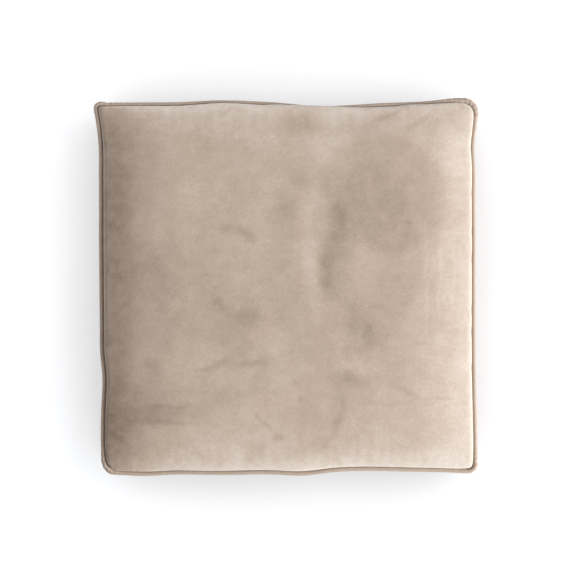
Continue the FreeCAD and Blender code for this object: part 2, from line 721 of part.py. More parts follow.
def care_label():
    """A blank cloth label, sewn in at the base seam inside the cover."""
    left, front = cell("label_left"), f"{cell('half_depth')} - {cell('label_inset')}"
    return box(
        "care_label", left, f"{left} + {cell('label_width')}", f"{front} - {cell('label_thick')}",
        front, cell("label_base"), f"{cell('label_base')} + {cell('label_height')}",
    )


# ---------------------------------------------------------------- build, check and write


def check(objects):
    """Stops the build if anything failed to recompute or a sub-part's shape is unsound."""
    for thing in doc.Objects:
        if "Invalid" in thing.State or "Error" in thing.State:
            raise RuntimeError(f"{thing.Name} failed: {thing.State}")
    for thing in objects:
        shape = thing.Shape
        if shape.isNull() or not shape.isValid() or not shape.Solids:
            raise RuntimeError(f"{thing.Label} has no sound shape")
        print(f"{thing.Label}: {len(shape.Solids)} solid(s), {shape.Volume:.0f} mm3")


def main():
    make_sheet()
    subparts = [top_panel(), base_panel()]
    subparts += boxing_strips()
    subparts += piping("top", cell("top_seam"), TOP_HANG, "down")
    subparts += piping("base", cell("base_seam"), BASE_HANG, "up")
    subparts += insert()
    subparts += zip_chain()
    subparts += zip_stops()
    subparts += [slider_body(), pull_tab(), care_label()]
    doc.recompute()
    check(subparts)
    os.makedirs("parts", exist_ok=True)
    for thing in subparts:
        thing.Shape.exportStep(f"parts/{thing.Label}.step")


main()
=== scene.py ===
import math

import bpy
import numpy as np
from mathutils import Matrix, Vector, noise


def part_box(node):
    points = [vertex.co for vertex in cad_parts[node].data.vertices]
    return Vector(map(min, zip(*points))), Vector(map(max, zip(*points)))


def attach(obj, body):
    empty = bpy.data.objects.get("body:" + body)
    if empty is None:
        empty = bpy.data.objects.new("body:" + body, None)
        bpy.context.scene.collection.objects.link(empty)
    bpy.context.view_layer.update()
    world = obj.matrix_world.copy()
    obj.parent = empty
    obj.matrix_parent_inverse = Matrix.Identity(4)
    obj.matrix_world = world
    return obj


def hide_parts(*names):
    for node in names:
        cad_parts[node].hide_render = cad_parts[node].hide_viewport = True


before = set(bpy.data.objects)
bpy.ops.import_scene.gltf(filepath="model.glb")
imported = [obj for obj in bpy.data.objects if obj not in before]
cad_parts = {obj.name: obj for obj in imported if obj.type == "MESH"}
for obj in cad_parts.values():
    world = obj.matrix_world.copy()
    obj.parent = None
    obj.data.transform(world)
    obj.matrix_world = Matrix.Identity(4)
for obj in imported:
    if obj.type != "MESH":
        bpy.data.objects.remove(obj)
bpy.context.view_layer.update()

# The looks of a square velvet floor cushion. Metres, +Z up, +X right, +Y towards the zip.
# The cover starts as two grids, a top panel and a side band, on one seam line. Cloth simulation
# puffs each up, and the band is then parted at its seams into the strips it is sewn from.

# ---- sizes, from the frame

MM = 0.001
PANEL_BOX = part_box("top_panel")
CORD_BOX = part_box("top_piping_cord")
BASE_CORD_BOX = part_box("base_piping_cord")
SLEEVE_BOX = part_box("top_piping_sleeve")
UPPER_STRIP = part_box("zip_boxing_upper")
LOWER_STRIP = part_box("zip_boxing_lower")
COIL_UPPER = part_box("zip_coil_upper")
COIL_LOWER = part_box("zip_coil_lower")

HALF_X = PANEL_BOX[1].x
HALF_Y = PANEL_BOX[1].y
TOP_SEAM = (CORD_BOX[0].z + CORD_BOX[1].z) / 2
BASE_SEAM = (BASE_CORD_BOX[0].z + BASE_CORD_BOX[1].z) / 2
CORD_RADIUS = (CORD_BOX[1].z - CORD_BOX[0].z) / 2
PIPING_RADIUS = CORD_RADIUS + SLEEVE_BOX[1].x - CORD_BOX[1].x
ZIP_END = UPPER_STRIP[1].x
ZIP_TOP_EDGE = UPPER_STRIP[0].z
ZIP_LOW_EDGE = LOWER_STRIP[1].z
ZIP_MIDDLE = (ZIP_TOP_EDGE + ZIP_LOW_EDGE) / 2
HALF_FLANGE = 0.8 * MM

# ---- the seam line, as sewn

# How far each side of the cushion wanders out of true: (share along the side, outwards in mm).
# The share runs from -1 to 1 with X on the front and rear, and with Y on the left and right.
WANDER = {
    "front": [(-1, -1), (-0.8, 3.0), (-0.6, 0.9), (-0.35, 1.6), (-0.1, 0.6), (0.08, 2.5),
              (0.26, -3.2), (0.7, -3.6), (1, -1)],
    "right": [(-1, 2.2), (-0.85, 1.9), (-0.5, -0.3), (0, -1.0), (0.3, -1.0), (0.45, -1.4),
              (0.66, -1.4), (0.78, -2.8), (0.88, 0.2), (1, 4.2)],
    "rear": [(-1, -1.8), (-0.75, -1.2), (-0.58, -0.8), (-0.38, 2.0), (-0.1, -0.7), (0.18, -7.0),
             (0.5, -2.6), (0.75, 0.6), (0.92, 5.0), (1, 4.2)],
    "left": [(-1, -5.4), (-0.82, -3.2), (-0.68, -3.8), (-0.48, -5.6), (-0.36, -2.2),
             (-0.2, -1.6), (0.2, -0.5), (0.6, -0.2), (0.8, 0.6), (0.9, 3.8), (1, 9)],
}
# Corner radii of the sewn outline, in mm, by corner: (1, 1) is right and rear.
CORNER_MM = {(1, 1): 14, (-1, 1): 5, (-1, -1): 18, (1, -1): 8}
CORNERS = ((1, -1), (1, 1), (-1, 1), (-1, -1))
CORNER_STEPS = 40
SIDE_STEPS = 6 * CORNER_STEPS
# The base seam wanders less than the top one, by this share.
BASE_WANDER = 0.35
# How strongly grids and outlines are finer near the corners, below 1.
CROWDING = 0.55


def smooth_curve(points, at):
    """Height of a smooth curve through given (place, height) points."""
    xs = np.array([p[0] for p in points], float)
    ys = np.array([p[1] for p in points], float)
    slopes = np.gradient(ys, xs)
    k = np.clip(np.searchsorted(xs, at, side="right") - 1, 0, len(xs) - 2)
    span = xs[k + 1] - xs[k]
    t = (at - xs[k]) / span
    return (
        ys[k] * (1 + 2 * t) * (1 - t) ** 2
        + slopes[k] * span * t * (1 - t) ** 2
        + ys[k + 1] * t * t * (3 - 2 * t)
        + slopes[k + 1] * span * t * t * (t - 1)
    )


def gathered(share):
    """Moves evenly spaced shares towards 0 and 1, so that a grid is finest near its edges."""
    return share - CROWDING / (2 * math.pi) * np.sin(2 * math.pi * share)


def run_along(line):
    """Distance along a line of points, from 0 at its first."""
    return np.concatenate([[0], np.cumsum(np.linalg.norm(np.diff(line, axis=0), axis=1))])


def corner_arc(corner, in_corner):
    """Radius and middle of one corner of the true rounded rectangle."""
    radius = CORNER_MM[corner] * MM * in_corner
    return radius, Vector((corner[0] * (HALF_X - radius), corner[1] * (HALF_Y - radius)))


def outline(count, out=0.0, wander=1.0, in_corner=1.0):
    """The seam line as count points, anticlockwise from the front right corner's middle, at a
    distance out from it. wander scales how far it strays from a true rounded rectangle, and
    in_corner scales the radii of that rectangle's corners."""
    dense = []
    for side in range(4):
        radius, middle = corner_arc(CORNERS[side], in_corner)
        next_radius, next_middle = corner_arc(CORNERS[(side + 1) % 4], in_corner)
        start = -math.pi / 2 + side * math.pi / 2
        for k in range(CORNER_STEPS):
            angle = start + math.pi / 2 * k / CORNER_STEPS
            c, s = math.cos(angle), math.sin(angle)
            dense.append((middle.x + radius * c, middle.y + radius * s, c, s))
        c, s = math.cos(start + math.pi / 2), math.sin(start + math.pi / 2)
        first = Vector((middle.x + radius * c, middle.y + radius * s))
        last = Vector((next_middle.x + next_radius * c, next_middle.y + next_radius * s))
        for k in range(SIDE_STEPS):
            dense.append((*first.lerp(last, k / SIDE_STEPS), c, s))
    x, y, nx, ny = np.array(dense).T
    share_x = np.clip(x / HALF_X, -1, 1)
    share_y = np.clip(y / HALF_Y, -1, 1)
    shift = (
        smooth_curve(WANDER["right"], share_y) * np.clip(nx, 0, 1) ** 2
        + smooth_curve(WANDER["left"], share_y) * np.clip(-nx, 0, 1) ** 2
        + smooth_curve(WANDER["rear"], share_x) * np.clip(ny, 0, 1) ** 2
        + smooth_curve(WANDER["front"], share_x) * np.clip(-ny, 0, 1) ** 2
    ) * MM * wander + out
    x, y = x + nx * shift, y + ny * shift
    # respaced side by side, each from the middle of one corner to the middle of the next
    line = np.roll(np.column_stack([x, y]), -(CORNER_STEPS // 2), axis=0)
    closed = np.vstack([line, line[:1]])
    length = CORNER_STEPS + SIDE_STEPS
    spaced = []
    for side in range(4):
        part = closed[side * length:(side + 1) * length + 1]
        run = run_along(part)
        want = run[-1] * gathered(np.linspace(0, 1, count // 4 + 1))[:-1]
        spaced.append(np.column_stack([np.interp(want, run, part[:, axis]) for axis in (0, 1)]))
    return np.vstack(spaced)


# ---- meshes


def make_piece(name, points, faces):
    """A smooth-shaded mesh object, at the origin, with its place in its vertices."""
    mesh = bpy.data.meshes.new(name)
    mesh.from_pydata([tuple(p) for p in points], [], [tuple(f) for f in faces])
    mesh.validate()
    mesh.shade_smooth()
    piece = bpy.data.objects.new(name, mesh)
    bpy.context.scene.collection.objects.link(piece)
    return piece


def settle(piece, material, slot, body, *nodes):
    """Gives a piece its material and the body that it rides, and hides the nodes it stands for. slot is not
    used.
    """
    piece.data.materials.clear()
    piece.data.materials.append(material)
    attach(piece, body)
    if nodes:
        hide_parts(*nodes)
    return piece


def read_points(mesh, what="co"):
    """A mesh's points, or their normals."""
    flat = np.empty(len(mesh.vertices) * 3)
    mesh.vertices.foreach_get(what, flat)
    return flat.reshape(-1, 3)


def write_points(mesh, points):
    mesh.vertices.foreach_set("co", np.asarray(points, float).ravel())
    mesh.update()


def evaluated_mesh(piece):
    """A new mesh of a piece as its modifiers shape it."""
    graph = bpy.context.evaluated_depsgraph_get()
    return bpy.data.meshes.new_from_object(piece.evaluated_get(graph))


def apply_modifiers(piece):
    """Makes the shape that a piece's modifiers give it its own."""
    shaped = evaluated_mesh(piece)
    piece.modifiers.clear()
    piece.data = shaped
    shaped.shade_smooth()
    return piece


def subdivided(piece):
    """Applies smooth subdivision to a piece."""
    modifier = piece.modifiers.new("finer", "SUBSURF")
    modifier.levels = modifier.render_levels = 1
    modifier.boundary_smooth = "PRESERVE_CORNERS"
    return apply_modifiers(piece)


def grid_faces(rows, columns, first=0, ring=False, closed=False):
    """Faces of a grid of points that is held row by row, from point number first on. A ring's
    last column joins its first, and a closed grid's last row joins its first."""
    faces = []
    for row in range(rows if closed else rows - 1):
        a, b = first + row * columns, first + (row + 1) % rows * columns
        for k in range(columns if ring else columns - 1):
            n = (k + 1) % columns
            faces.append((a + k, a + n, b + n, b + k))
    return faces


def tube_faces(rings, sides, first=0):
    """Faces of a tube of rings of points, closed at both ends."""
    last = first + (rings - 1) * sides
    ends = [tuple(reversed(range(first, first + sides))), tuple(range(last, last + sides))]
    return grid_faces(rings, sides, first, ring=True) + ends


def joined_rings(low, high):
    """Faces between two rings of point numbers. They point outwards with low below high."""
    count = len(low)
    return [(low[k], low[(k + 1) % count], high[(k + 1) % count], high[k]) for k in range(count)]


def turned_over(faces):
    return [tuple(reversed(face)) for face in faces]


def grain(points, size, seed=0.0):
    """Smooth noise from -1 to 1 at each point, with blobs about size across."""
    shift = Vector((seed * 13.7, seed * 5.3, seed * 9.1))
    return np.array([noise.noise(Vector(p) / size + shift) for p in points])


# ---- the cover's grid

CELLS = 100
RING = 4 * CELLS
BAND_ROWS = 18


def rim_indices():
    """Point numbers round a panel's rim, in the outline's order: right, rear, left, front."""
    right = [(CELLS, k) for k in range(CELLS)]
    rear = [(CELLS - k, CELLS) for k in range(CELLS)]
    left = [(0, CELLS - k) for k in range(CELLS)]
    front = [(k, 0) for k in range(CELLS)]
    return [j * (CELLS + 1) + i for i, j in right + rear + left + front]


def fill_in(rim):
    """Spreads a grid of points between the four sides of a rim of (x, y) points."""
    right, rear = rim[:CELLS + 1], rim[CELLS:2 * CELLS + 1]
    left = rim[2 * CELLS:3 * CELLS + 1]
    front = np.vstack([rim[3 * CELLS:], rim[:1]])
    rear, left = rear[::-1], left[::-1]
    share = gathered(np.linspace(0, 1, CELLS + 1))
    u, v = share[None, :, None], share[:, None, None]
    across = (1 - u) * left[:, None, :] + u * right[:, None, :]
    along = (1 - v) * front[None, :, :] + v * rear[None, :, :]
    flat = (
        (1 - u) * (1 - v) * front[0]
        + u * (1 - v) * front[-1]
        + (1 - u) * v * rear[0]
        + u * v * rear[-1]
    )
    return (across + along - flat).reshape(-1, 2)


def edge_distance():
    """How far each grid place lies from the nearer rim, along X and along Y, in metres."""
    share = gathered(np.linspace(0, 1, CELLS + 1))
    inward = np.minimum(share, 1 - share)
    dx, dy = np.meshgrid(inward * 2 * HALF_X, inward * 2 * HALF_Y)
    return dx.ravel(), dy.ravel()


# Each side of the cushion: its name, the axis that it faces along, and which way.
SIDES = (("right", 0, 1), ("rear", 1, 1), ("left", 0, -1), ("front", 1, -1))


def seam_distance(points):
    """How far points lie inside the sewn seam line, as metres by side."""
    rim = outline(RING)
    away = {}
    for k, (side, axis, sign) in enumerate(SIDES):
        part = rim[np.arange(k * CELLS, (k + 1) * CELLS + 1) % RING]
        order = np.argsort(part[:, 1 - axis])
        seam = np.interp(points[:, 1 - axis], part[order, 1 - axis], part[order, axis])
        away[side] = np.maximum(sign * (seam - points[:, axis]), 0)
    return away


def quarter_round(distance, radius):
    """Rises from 0 to 1 as a quarter circle does, over one radius."""
    t = 1 - np.clip(distance / radius, 0, 1)
    return np.sqrt(np.clip(1 - t * t, 0, 1))


def panel_faces():
    return grid_faces(CELLS + 1, CELLS + 1)


EDGE_ROLL = 10 * MM
EDGE_ROLL_RISE = 6.5 * MM
CROWN_WIDTH = 150 * MM
CROWN_RISE = 15.5 * MM
CROWN_POWER = 2.6


def eased(distance):
    """Rises from 0 to 1 over the crown's width, steepest at the edge."""
    return 1 - (1 - np.clip(distance / CROWN_WIDTH, 0, 1)) ** CROWN_POWER


def crown_height(dx, dy):
    """Height of the top panel over its seam: a small roll at the edge, then a wide soft crown."""
    rolled = quarter_round(dx, EDGE_ROLL) * quarter_round(dy, EDGE_ROLL)
    return EDGE_ROLL_RISE * rolled + CROWN_RISE * eased(dx) * eased(dy)


def top_start():
    """The top panel before it is puffed up."""
    flat = fill_in(outline(RING))
    return np.column_stack([flat, TOP_SEAM + HALF_FLANGE + crown_height(*edge_distance())])


def band_levels():
    """Heights of the side band's rows, with a row at each folded edge of the zip."""
    low = np.linspace(BASE_SEAM + HALF_FLANGE, ZIP_LOW_EDGE, BAND_ROWS // 2)
    high = np.linspace(ZIP_TOP_EDGE, TOP_SEAM - HALF_FLANGE, BAND_ROWS // 2)
    return np.concatenate([low, high])


LEVELS = band_levels()
GAP_ROW = BAND_ROWS // 2 - 1


def true_outline():
    return outline(RING, wander=BASE_WANDER)


# The wall stays flat this far past the zip's ends, then fades back to the seam line. REACH is how
# fast it does so above and below the zip.
ZIP_MARGIN = 22 * MM
ZIP_FADE = 16 * MM
ZIP_REACH = 26 * MM


def band_start():
    """The side band before it is puffed. It follows the top seam above, is truer below, and is
    true along the zip, whose stiff tapes keep it straight, and where the pull lies past it."""
    top, base = outline(RING), true_outline()
    rows = []
    for z in LEVELS:
        share = (z - BASE_SEAM) / (TOP_SEAM - BASE_SEAM)
        flat = base * (1 - share) + top * share
        from_end = (ZIP_END + ZIP_MARGIN + ZIP_FADE - np.abs(flat[:, 0])) / ZIP_FADE
        true = np.clip(from_end, 0, 1) * (flat[:, 1] > 0)
        off = max(abs(z - ZIP_MIDDLE) - (ZIP_TOP_EDGE - ZIP_MIDDLE), 0)
        true *= math.exp(-(off / ZIP_REACH) ** 2)
        flat[:, 1] += (HALF_Y - flat[:, 1]) * true
        rows.append(np.column_stack([flat, np.full(RING, z)]))
    return np.array(rows)


def in_zip(x, y):
    """Whether points lie along the zip, or past its ends as far as the pull reaches."""
    return (np.abs(x) < ZIP_END + ZIP_MARGIN) & (y > 0)


GIVE = 0.7 * MM
TINY = 1e-9
SIMULATED_FRAMES = 20


def puff(start, faces, hold, pressure, cap, growth):
    """Cloth simulation under inside pressure, with the cloth cut larger by growth. hold is how
    firmly the seam or the filling keeps each point, from 0 to 1. No point ends up further from
    where it started than cap, or sinks further than GIVE, because the filling holds it up."""
    sheet = make_piece("cloth_try", start, faces)
    outward = read_points(sheet.data, "normal")
    group = sheet.vertex_groups.new(name="held")
    for k, weight in enumerate(hold):
        group.add([k], float(weight), "REPLACE")
    modifier = sheet.modifiers.new("cloth", "CLOTH")
    cloth = modifier.settings
    cloth.quality = 6
    cloth.mass = 0.25
    cloth.tension_stiffness = cloth.compression_stiffness = 18
    cloth.shear_stiffness = 8
    cloth.bending_stiffness = 1.2
    cloth.vertex_group_mass = "held"
    cloth.shrink_min = -growth
    cloth.use_pressure = True
    cloth.uniform_pressure_force = pressure
    cloth.effector_weights.gravity = 0
    modifier.collision_settings.use_collision = False
    modifier.collision_settings.use_self_collision = False
    scene = bpy.context.scene
    modifier.point_cache.frame_start, modifier.point_cache.frame_end = 1, SIMULATED_FRAMES
    for step in range(1, SIMULATED_FRAMES + 1):
        scene.frame_set(step)
    settled = evaluated_mesh(sheet)
    moved = read_points(settled) - start
    scene.frame_set(1)
    bpy.data.objects.remove(sheet)
    bpy.data.meshes.remove(settled)
    length = np.linalg.norm(moved, axis=1, keepdims=True)
    moved *= np.minimum(1, cap / np.maximum(length, TINY))
    sunk = np.minimum(np.sum(moved * outward, axis=1, keepdims=True) + GIVE, 0)
    return start + moved - outward * sunk


PRESSURE = 3.0
BAND_PRESSURE = 6.0
TOP_CAP = 4 * MM
BAND_CAP = 5 * MM
TOP_GROWTH = 0.003
LOOSE_HOLD = 0.30
MIDDLE_HOLD = 0.85
LOOSE_WIDTH = 90 * MM
BAND_HOLD = 0.02
BAND_GROWTH = 0.010


def cover_shapes():
    """The top panel's points and the side band's rows, puffed up."""
    top, band = top_start(), band_start()
    away = np.minimum(*edge_distance())
    hold = LOOSE_HOLD + (MIDDLE_HOLD - LOOSE_HOLD) * np.clip(away / LOOSE_WIDTH, 0, 1) ** 2
    hold[away <= 0] = 1
    top = puff(top, panel_faces(), hold, PRESSURE, TOP_CAP, TOP_GROWTH)
    flat = band.reshape(-1, 3)
    rows = len(LEVELS)
    row_of = np.repeat(np.arange(rows), RING)
    by_zip = in_zip(flat[:, 0], flat[:, 1]) & np.isin(row_of, (GAP_ROW, GAP_ROW + 1))
    hold = np.full(len(flat), BAND_HOLD)
    hold[(row_of == 0) | (row_of == rows - 1) | by_zip] = 1
    band = puff(flat, grid_faces(rows, RING, ring=True), hold, BAND_PRESSURE, BAND_CAP, BAND_GROWTH)
    return top, band.reshape(rows, RING, 3)


# ---- sewing the cover's pieces


def corner_nearness(points, reach):
    """From 0 to 1, how near each point is to the nearest upright corner of the cushion."""
    away_x = HALF_X - np.abs(points[:, 0])
    away_y = HALF_Y - np.abs(points[:, 1])
    return np.exp(-(np.maximum(away_x, 0) ** 2 + np.maximum(away_y, 0) ** 2) / reach ** 2)


def at_corner(points, corner, reach):
    """From 0 to 1, how near each point is to one upright corner of the cushion."""
    gap_x, gap_y = points[:, 0] - corner[0] * HALF_X, points[:, 1] - corner[1] * HALF_Y
    return np.exp(-(gap_x ** 2 + gap_y ** 2) / reach ** 2)


def layered_grain(points, layers):
    """Noise in layers of (size, depth, seed)."""
    return sum(grain(points, size, seed) * depth for size, depth, seed in layers)


PUCKER_DEPTH = 0.08 * MM
CORNER_PUCKER_DEPTH = 0.35 * MM
PUCKER_REACH = 16 * MM
CORNER_REACH = 42 * MM
GATHER_SIZE = 6.5 * MM
GATHER_STRETCH = 0.35
SEAM_CALM = 3 * MM
SLACK_START = 40 * MM
PANEL_SLACK = ((75 * MM, 0.9 * MM, 2.0), (28 * MM, 0.3 * MM, 3.0))


def pucker_top(points):
    """Small gathers that run in from the seam, deeper at the corners, and slack in the nap."""
    by_side = seam_distance(points)
    away_x = np.minimum(by_side["right"], by_side["left"])
    away_y = np.minimum(by_side["rear"], by_side["front"])
    away = np.minimum(away_x, away_y)
    along = np.where(away_x < away_y, points[:, 1], points[:, 0])
    near = corner_nearness(points, CORNER_REACH)
    phase = np.column_stack([along, away * GATHER_STRETCH, np.zeros(len(along))])
    gathers = grain(phase, GATHER_SIZE, 1.0)
    fade = np.exp(-away / PUCKER_REACH) * np.clip(away / SEAM_CALM, 0, 1)
    depth = PUCKER_DEPTH + CORNER_PUCKER_DEPTH * near
    slack = layered_grain(points * (1, 1, 0), PANEL_SLACK)
    inner = np.clip(away / SLACK_START, 0, 1)
    points[:, 2] += gathers * fade * depth + slack * inner
    return points


# How far the panel's edge swells out over its piping: (share along the side, mm).
LEAN = {
    "right": [(-1, 2.4), (-0.5, 2.2), (0, 2.4), (0.5, 2.8), (1, 3.0)],
    "rear": [(-1, 1.6), (-0.55, 1.8), (-0.35, 3.2), (-0.14, 3.0), (0, 6.5), (0.17, 9.0), (0.3, 7),
             (0.42, 3.0), (0.55, 2.6), (0.68, 5.0), (0.85, 3.2), (1, 2.0)],
    "left": [(-1, 1.0), (0, 0.7), (1, 0.7)],
    "front": [(-1, 1.6), (-0.4, 2.0), (0, 0.6), (0.4, 1.2), (1, 1.6)],
}
LEAN_HEIGHT = 3 * MM
LEAN_REACH = 13 * MM
# How far the panel's corners are drawn in from the piping, by corner, in mm.
CORNER_DRAW_MM = {(1, 1): 2.6, (-1, 1): 0.6, (-1, -1): 3.2, (1, -1): 1.6}
DRAW_REACH = 13 * MM


def lean_over_piping(points):
    """The edge of the top panel swells out over its piping, most of all where the rear dips."""
    above = np.clip((points[:, 2] - TOP_SEAM - CORD_RADIUS) / LEAN_HEIGHT, 0, 1)
    away = seam_distance(points)
    shift = np.zeros((len(points), 2))
    for side, axis, sign in SIDES:
        half = HALF_X if axis else HALF_Y
        lean = smooth_curve(LEAN[side], np.clip(points[:, 1 - axis] / half, -1, 1)) * MM
        shift[:, axis] += sign * lean * above * np.exp(-(away[side] / LEAN_REACH) ** 2)
    for corner, draw in CORNER_DRAW_MM.items():
        near = at_corner(points, corner, DRAW_REACH)
        shift -= np.column_stack([corner[0] * near, corner[1] * near]) * draw * MM
    points[:, :2] += shift
    return points


# Marks in the nap, as a hand leaves them, and broad marks of painted shade and painted highlight: (x, y,
# length, width, turn in degrees, lightness, sharpness). Lengths are in mm. Lightness is below 0 where
# the pile is brushed to look darker, and where shade is painted.
NAP_AND_PAINTED_LIGHT_MARKS = [
    # one sweep of the hand, right of the middle, with the arc that its edge left
    (155, 150, 214, 182, -14, -0.085, 9), (132, 54, 154, 280, 0, -0.08, 8),
    (222, 150, 50, 120, 14, -0.06, 2), (214, 70, 60, 130, 0, -0.05, 1.5),
    (118, 28, 60, 84, 0, 0.10, 1.2), (80, 102, 28, 76, -8, -0.11, 1.2), (62, 26, 24, 116, 3, -0.11, 1.4),
    (74, 60, 40, 160, -4, -0.06, 1.5), (128, -69, 18, 36, 0, -0.13, 1.2),
    (108, -44, 22, 44, 8, -0.08, 1.2),
    (161, 206, 66, 3, -40, 0.07, 1), (105, 90, 34, 4, -45, 0.09, 1), (190, 190, 60, 4, -42, 0.06, 1),
    # the pale streak beside it and the dark patch beyond
    (34, 62, 26, 236, 5, 0.07, 1.6), (4, 110, 54, 86, 10, -0.12, 1.5), (24, 168, 30, 26, 0, -0.10, 1.2),
    (-14, 52, 34, 56, 0, -0.06, 1.2), (68, 218, 76, 72, 0, 0.12, 1.4), (18, 262, 64, 40, 0, -0.16, 1.6),
    (-60, 262, 250, 62, 0, 0.08, 1.6), (-200, 268, 130, 40, 0, 0.05, 1.5),
    (150, 262, 150, 36, 0, 0.05, 1.5),
    # short strokes at the rear
    (169, 274, 52, 9, 25, -0.13, 1.3), (205, 260, 42, 8, 30, -0.11, 1.3),
    (146, 266, 42, 8, 34, -0.10, 1.3),
    (-92, 279, 34, 10, 8, -0.14, 1.3),
    # dabs left of the middle
    (-97, 92, 15, 13, 0, -0.15, 1.2), (-68, 84, 36, 15, -28, -0.17, 1.5),
    (-106, -28, 44, 18, -60, -0.10, 1.2),
    (-62, -50, 42, 30, 0, -0.12, 1.2), (-82, 2, 46, 42, 0, 0.07, 1), (-114, -124, 56, 12, 22, -0.15, 1.3),
    (-58, -120, 54, 12, 3, -0.15, 1.3), (-212, -125, 26, 28, 0, -0.10, 1.2),
    (-60, -92, 18, 16, 0, -0.06, 1.2), (-72, -84, 80, 84, 0, -0.08, 1.3),
    (120, -96, 70, 40, 0, -0.06, 1.3),
    (-165, -14, 200, 180, 0, -0.10, 1.5), (-30, -20, 150, 80, 0, -0.06, 1.5),
    (-225, 60, 60, 80, 0, -0.05, 1),
    # the front
    (-190, -201, 118, 36, 0, -0.13, 2), (-190, -189, 112, 5, 2, -0.09, 1),
    (-182, -213, 92, 6, -2, -0.09, 1),
    (14, -153, 8, 8, 0, -0.16, 1), (22, -175, 7, 9, 0, -0.18, 1), (-12, -237, 20, 13, 0, -0.16, 1.2),
    (-40, -209, 46, 4, -50, -0.18, 1), (82, -207, 15, 60, -16, -0.13, 1.5),
    (50, -217, 84, 92, 0, -0.08, 2),
    (97, -143, 64, 26, -8, -0.13, 1.6), (84, -158, 110, 52, 0, -0.07, 1.6),
    (185, -163, 62, 10, -27, -0.10, 1.2), (249, -174, 52, 4, 0, -0.08, 1),
    (-46, -232, 150, 50, 0, 0.05, 1), (-85, -166, 120, 24, 0, -0.07, 1.3),
    (52, -84, 84, 70, 0, -0.09, 1.3), (118, -68, 70, 60, 0, -0.07, 1.5),
    # pale strokes down the right
    (219, 14, 7, 124, 0, 0.07, 1.5), (241, 6, 6, 134, 0, 0.05, 1.5), (262, 24, 6, 120, 0, 0.05, 1.5),
    # the left side, darkened as painted shade, away from the light on the right
    (-284, 0, 84, 900, 0, -0.27, 1.3), (-286, -272, 190, 170, 0, -0.24, 1),
    (-205, -172, 100, 60, 0, -0.08, 1.4), (-256, 200, 110, 210, 0, -0.06, 1.6),
    # the far corners on the right, lightened as painted light where the lamp on the right falls
    (262, -262, 80, 76, 0, 0.09, 1), (258, 214, 56, 66, 0, 0.09, 1.2),
]
# Along the cushion's edges the pile is bent over and opens, and painted sheen and painted highlight are added
# there: lightness by side, set to where the light falls.
PAINTED_EDGE_SHEEN = {"right": 0.22, "left": 0.40, "rear": 0.34, "front": 0.34}
PAINTED_EDGE_SHEEN_REACH = {"right": 34, "left": 4, "rear": 12, "front": 24}
PAINTED_RIM_HIGHLIGHT = {"right": 0.65, "left": 0.38, "rear": 0.52, "front": 0.66}
PAINTED_RIM_REACH = 2.2 * MM
RAGGED_EDGE = ((26 * MM, 0.35, 14.0),)
# How the marks' outlines waver along X and along Y, how patchy they are, and the clouds between.
NAP_WAVER = (((26 * MM, 5 * MM, 4.0), (8 * MM, 3 * MM, 5.0)), ((26 * MM, 5 * MM, 6.0), (8 * MM, 3 * MM, 7.0)))
NAP_PATCHES = ((11 * MM, 0.25, 16.0),)
NAP_CLOUDS = ((85 * MM, 0.04, 8.0), (22 * MM, 0.05, 15.0))


def painted_edge_sheen(points):
    """How much paler the pile is drawn towards each edge, as painted sheen and painted highlight."""
    ragged = 1 + layered_grain(points * (1, 1, 0), RAGGED_EDGE)
    total = np.zeros(len(points))
    for side, inward in seam_distance(points).items():
        reach = PAINTED_EDGE_SHEEN_REACH[side] * MM * ragged
        # a thin painted highlight right at the seam
        rim = PAINTED_RIM_HIGHLIGHT[side] * np.exp(-(inward / PAINTED_RIM_REACH) ** 2)
        total = np.maximum(total, PAINTED_EDGE_SHEEN[side] * np.exp(-inward / reach) + rim)
    return total


def pile_and_painted_light(points):
    """How the pile lies at each point, with painted shade and painted highlight added: 0 is even, below 0 is
    brushed dark or painted shade, above 0 light or painted highlight.
    """
    flat = points * (1, 1, 0)
    x, y = (flat[:, axis] + layered_grain(flat, NAP_WAVER[axis]) for axis in (0, 1))
    pile_with_painted_light = layered_grain(flat, NAP_CLOUDS)
    broken = 1 + layered_grain(flat, NAP_PATCHES)
    for mark_x, mark_y, length, width, turn, lightness, sharpness in NAP_AND_PAINTED_LIGHT_MARKS:
        c, s = math.cos(math.radians(turn)), math.sin(math.radians(turn))
        dx, dy = x - mark_x * MM, y - mark_y * MM
        along, across = dx * c + dy * s, -dx * s + dy * c
        reach = (along / (length * MM / 2)) ** 2 + (across / (width * MM / 2)) ** 2
        pile_with_painted_light += lightness * broken * np.exp(-reach ** sharpness)
    # adds the painted sheen and painted highlight along the edges
    return pile_with_painted_light + painted_edge_sheen(points)


def store_pile_and_painted_light(piece, points):
    """Keeps how the pile lies, with its painted shade and painted highlight, on the mesh, where its material
    can read it.
    """
    pile_with_painted_light = piece.data.attributes.new("nap_and_painted_light", "FLOAT", "POINT")
    pile_with_painted_light.data.foreach_set("value", pile_and_painted_light(points).astype(np.float32))


def make_top_panel(top, material):
    panel = make_piece("top_panel_velvet", top, panel_faces())
    subdivided(panel)
    points = pucker_top(read_points(panel.data))
    store_pile_and_painted_light(panel, points)
    write_points(panel.data, lean_over_piping(points))
    return settle(panel, material, "velvet", "root", "top_panel")


BASE_ROLL = 16 * MM
BASE_SLACK = ((22 * MM, 0.8 * MM, 9.0),)


def base_rise(dx, dy):
    """From 0 where the base panel lies flat on the floor to 1 at its seam, as it rolls up."""
    return 1 - quarter_round(dx, BASE_ROLL) * quarter_round(dy, BASE_ROLL)


def base_height(dx, dy):
    return (BASE_SEAM - HALF_FLANGE) * base_rise(dx, dy)


def make_base_panel(material):
    away = edge_distance()
    points = np.column_stack([fill_in(true_outline()), base_height(*away)])
    slack = layered_grain(points, BASE_SLACK) * base_rise(*away)
    points[:, 2] = np.maximum(points[:, 2] + slack, 0)
    panel = make_piece("base_panel_velvet", points, turned_over(panel_faces()))
    settle(panel, material, "velvet", "root", "base_panel")


FOLD_DROP = 0.6 * MM
FOLD_DEPTH = 1.4 * MM
HEM_DEPTH = 2.5 * MM
HEM_RISE = 12 * MM


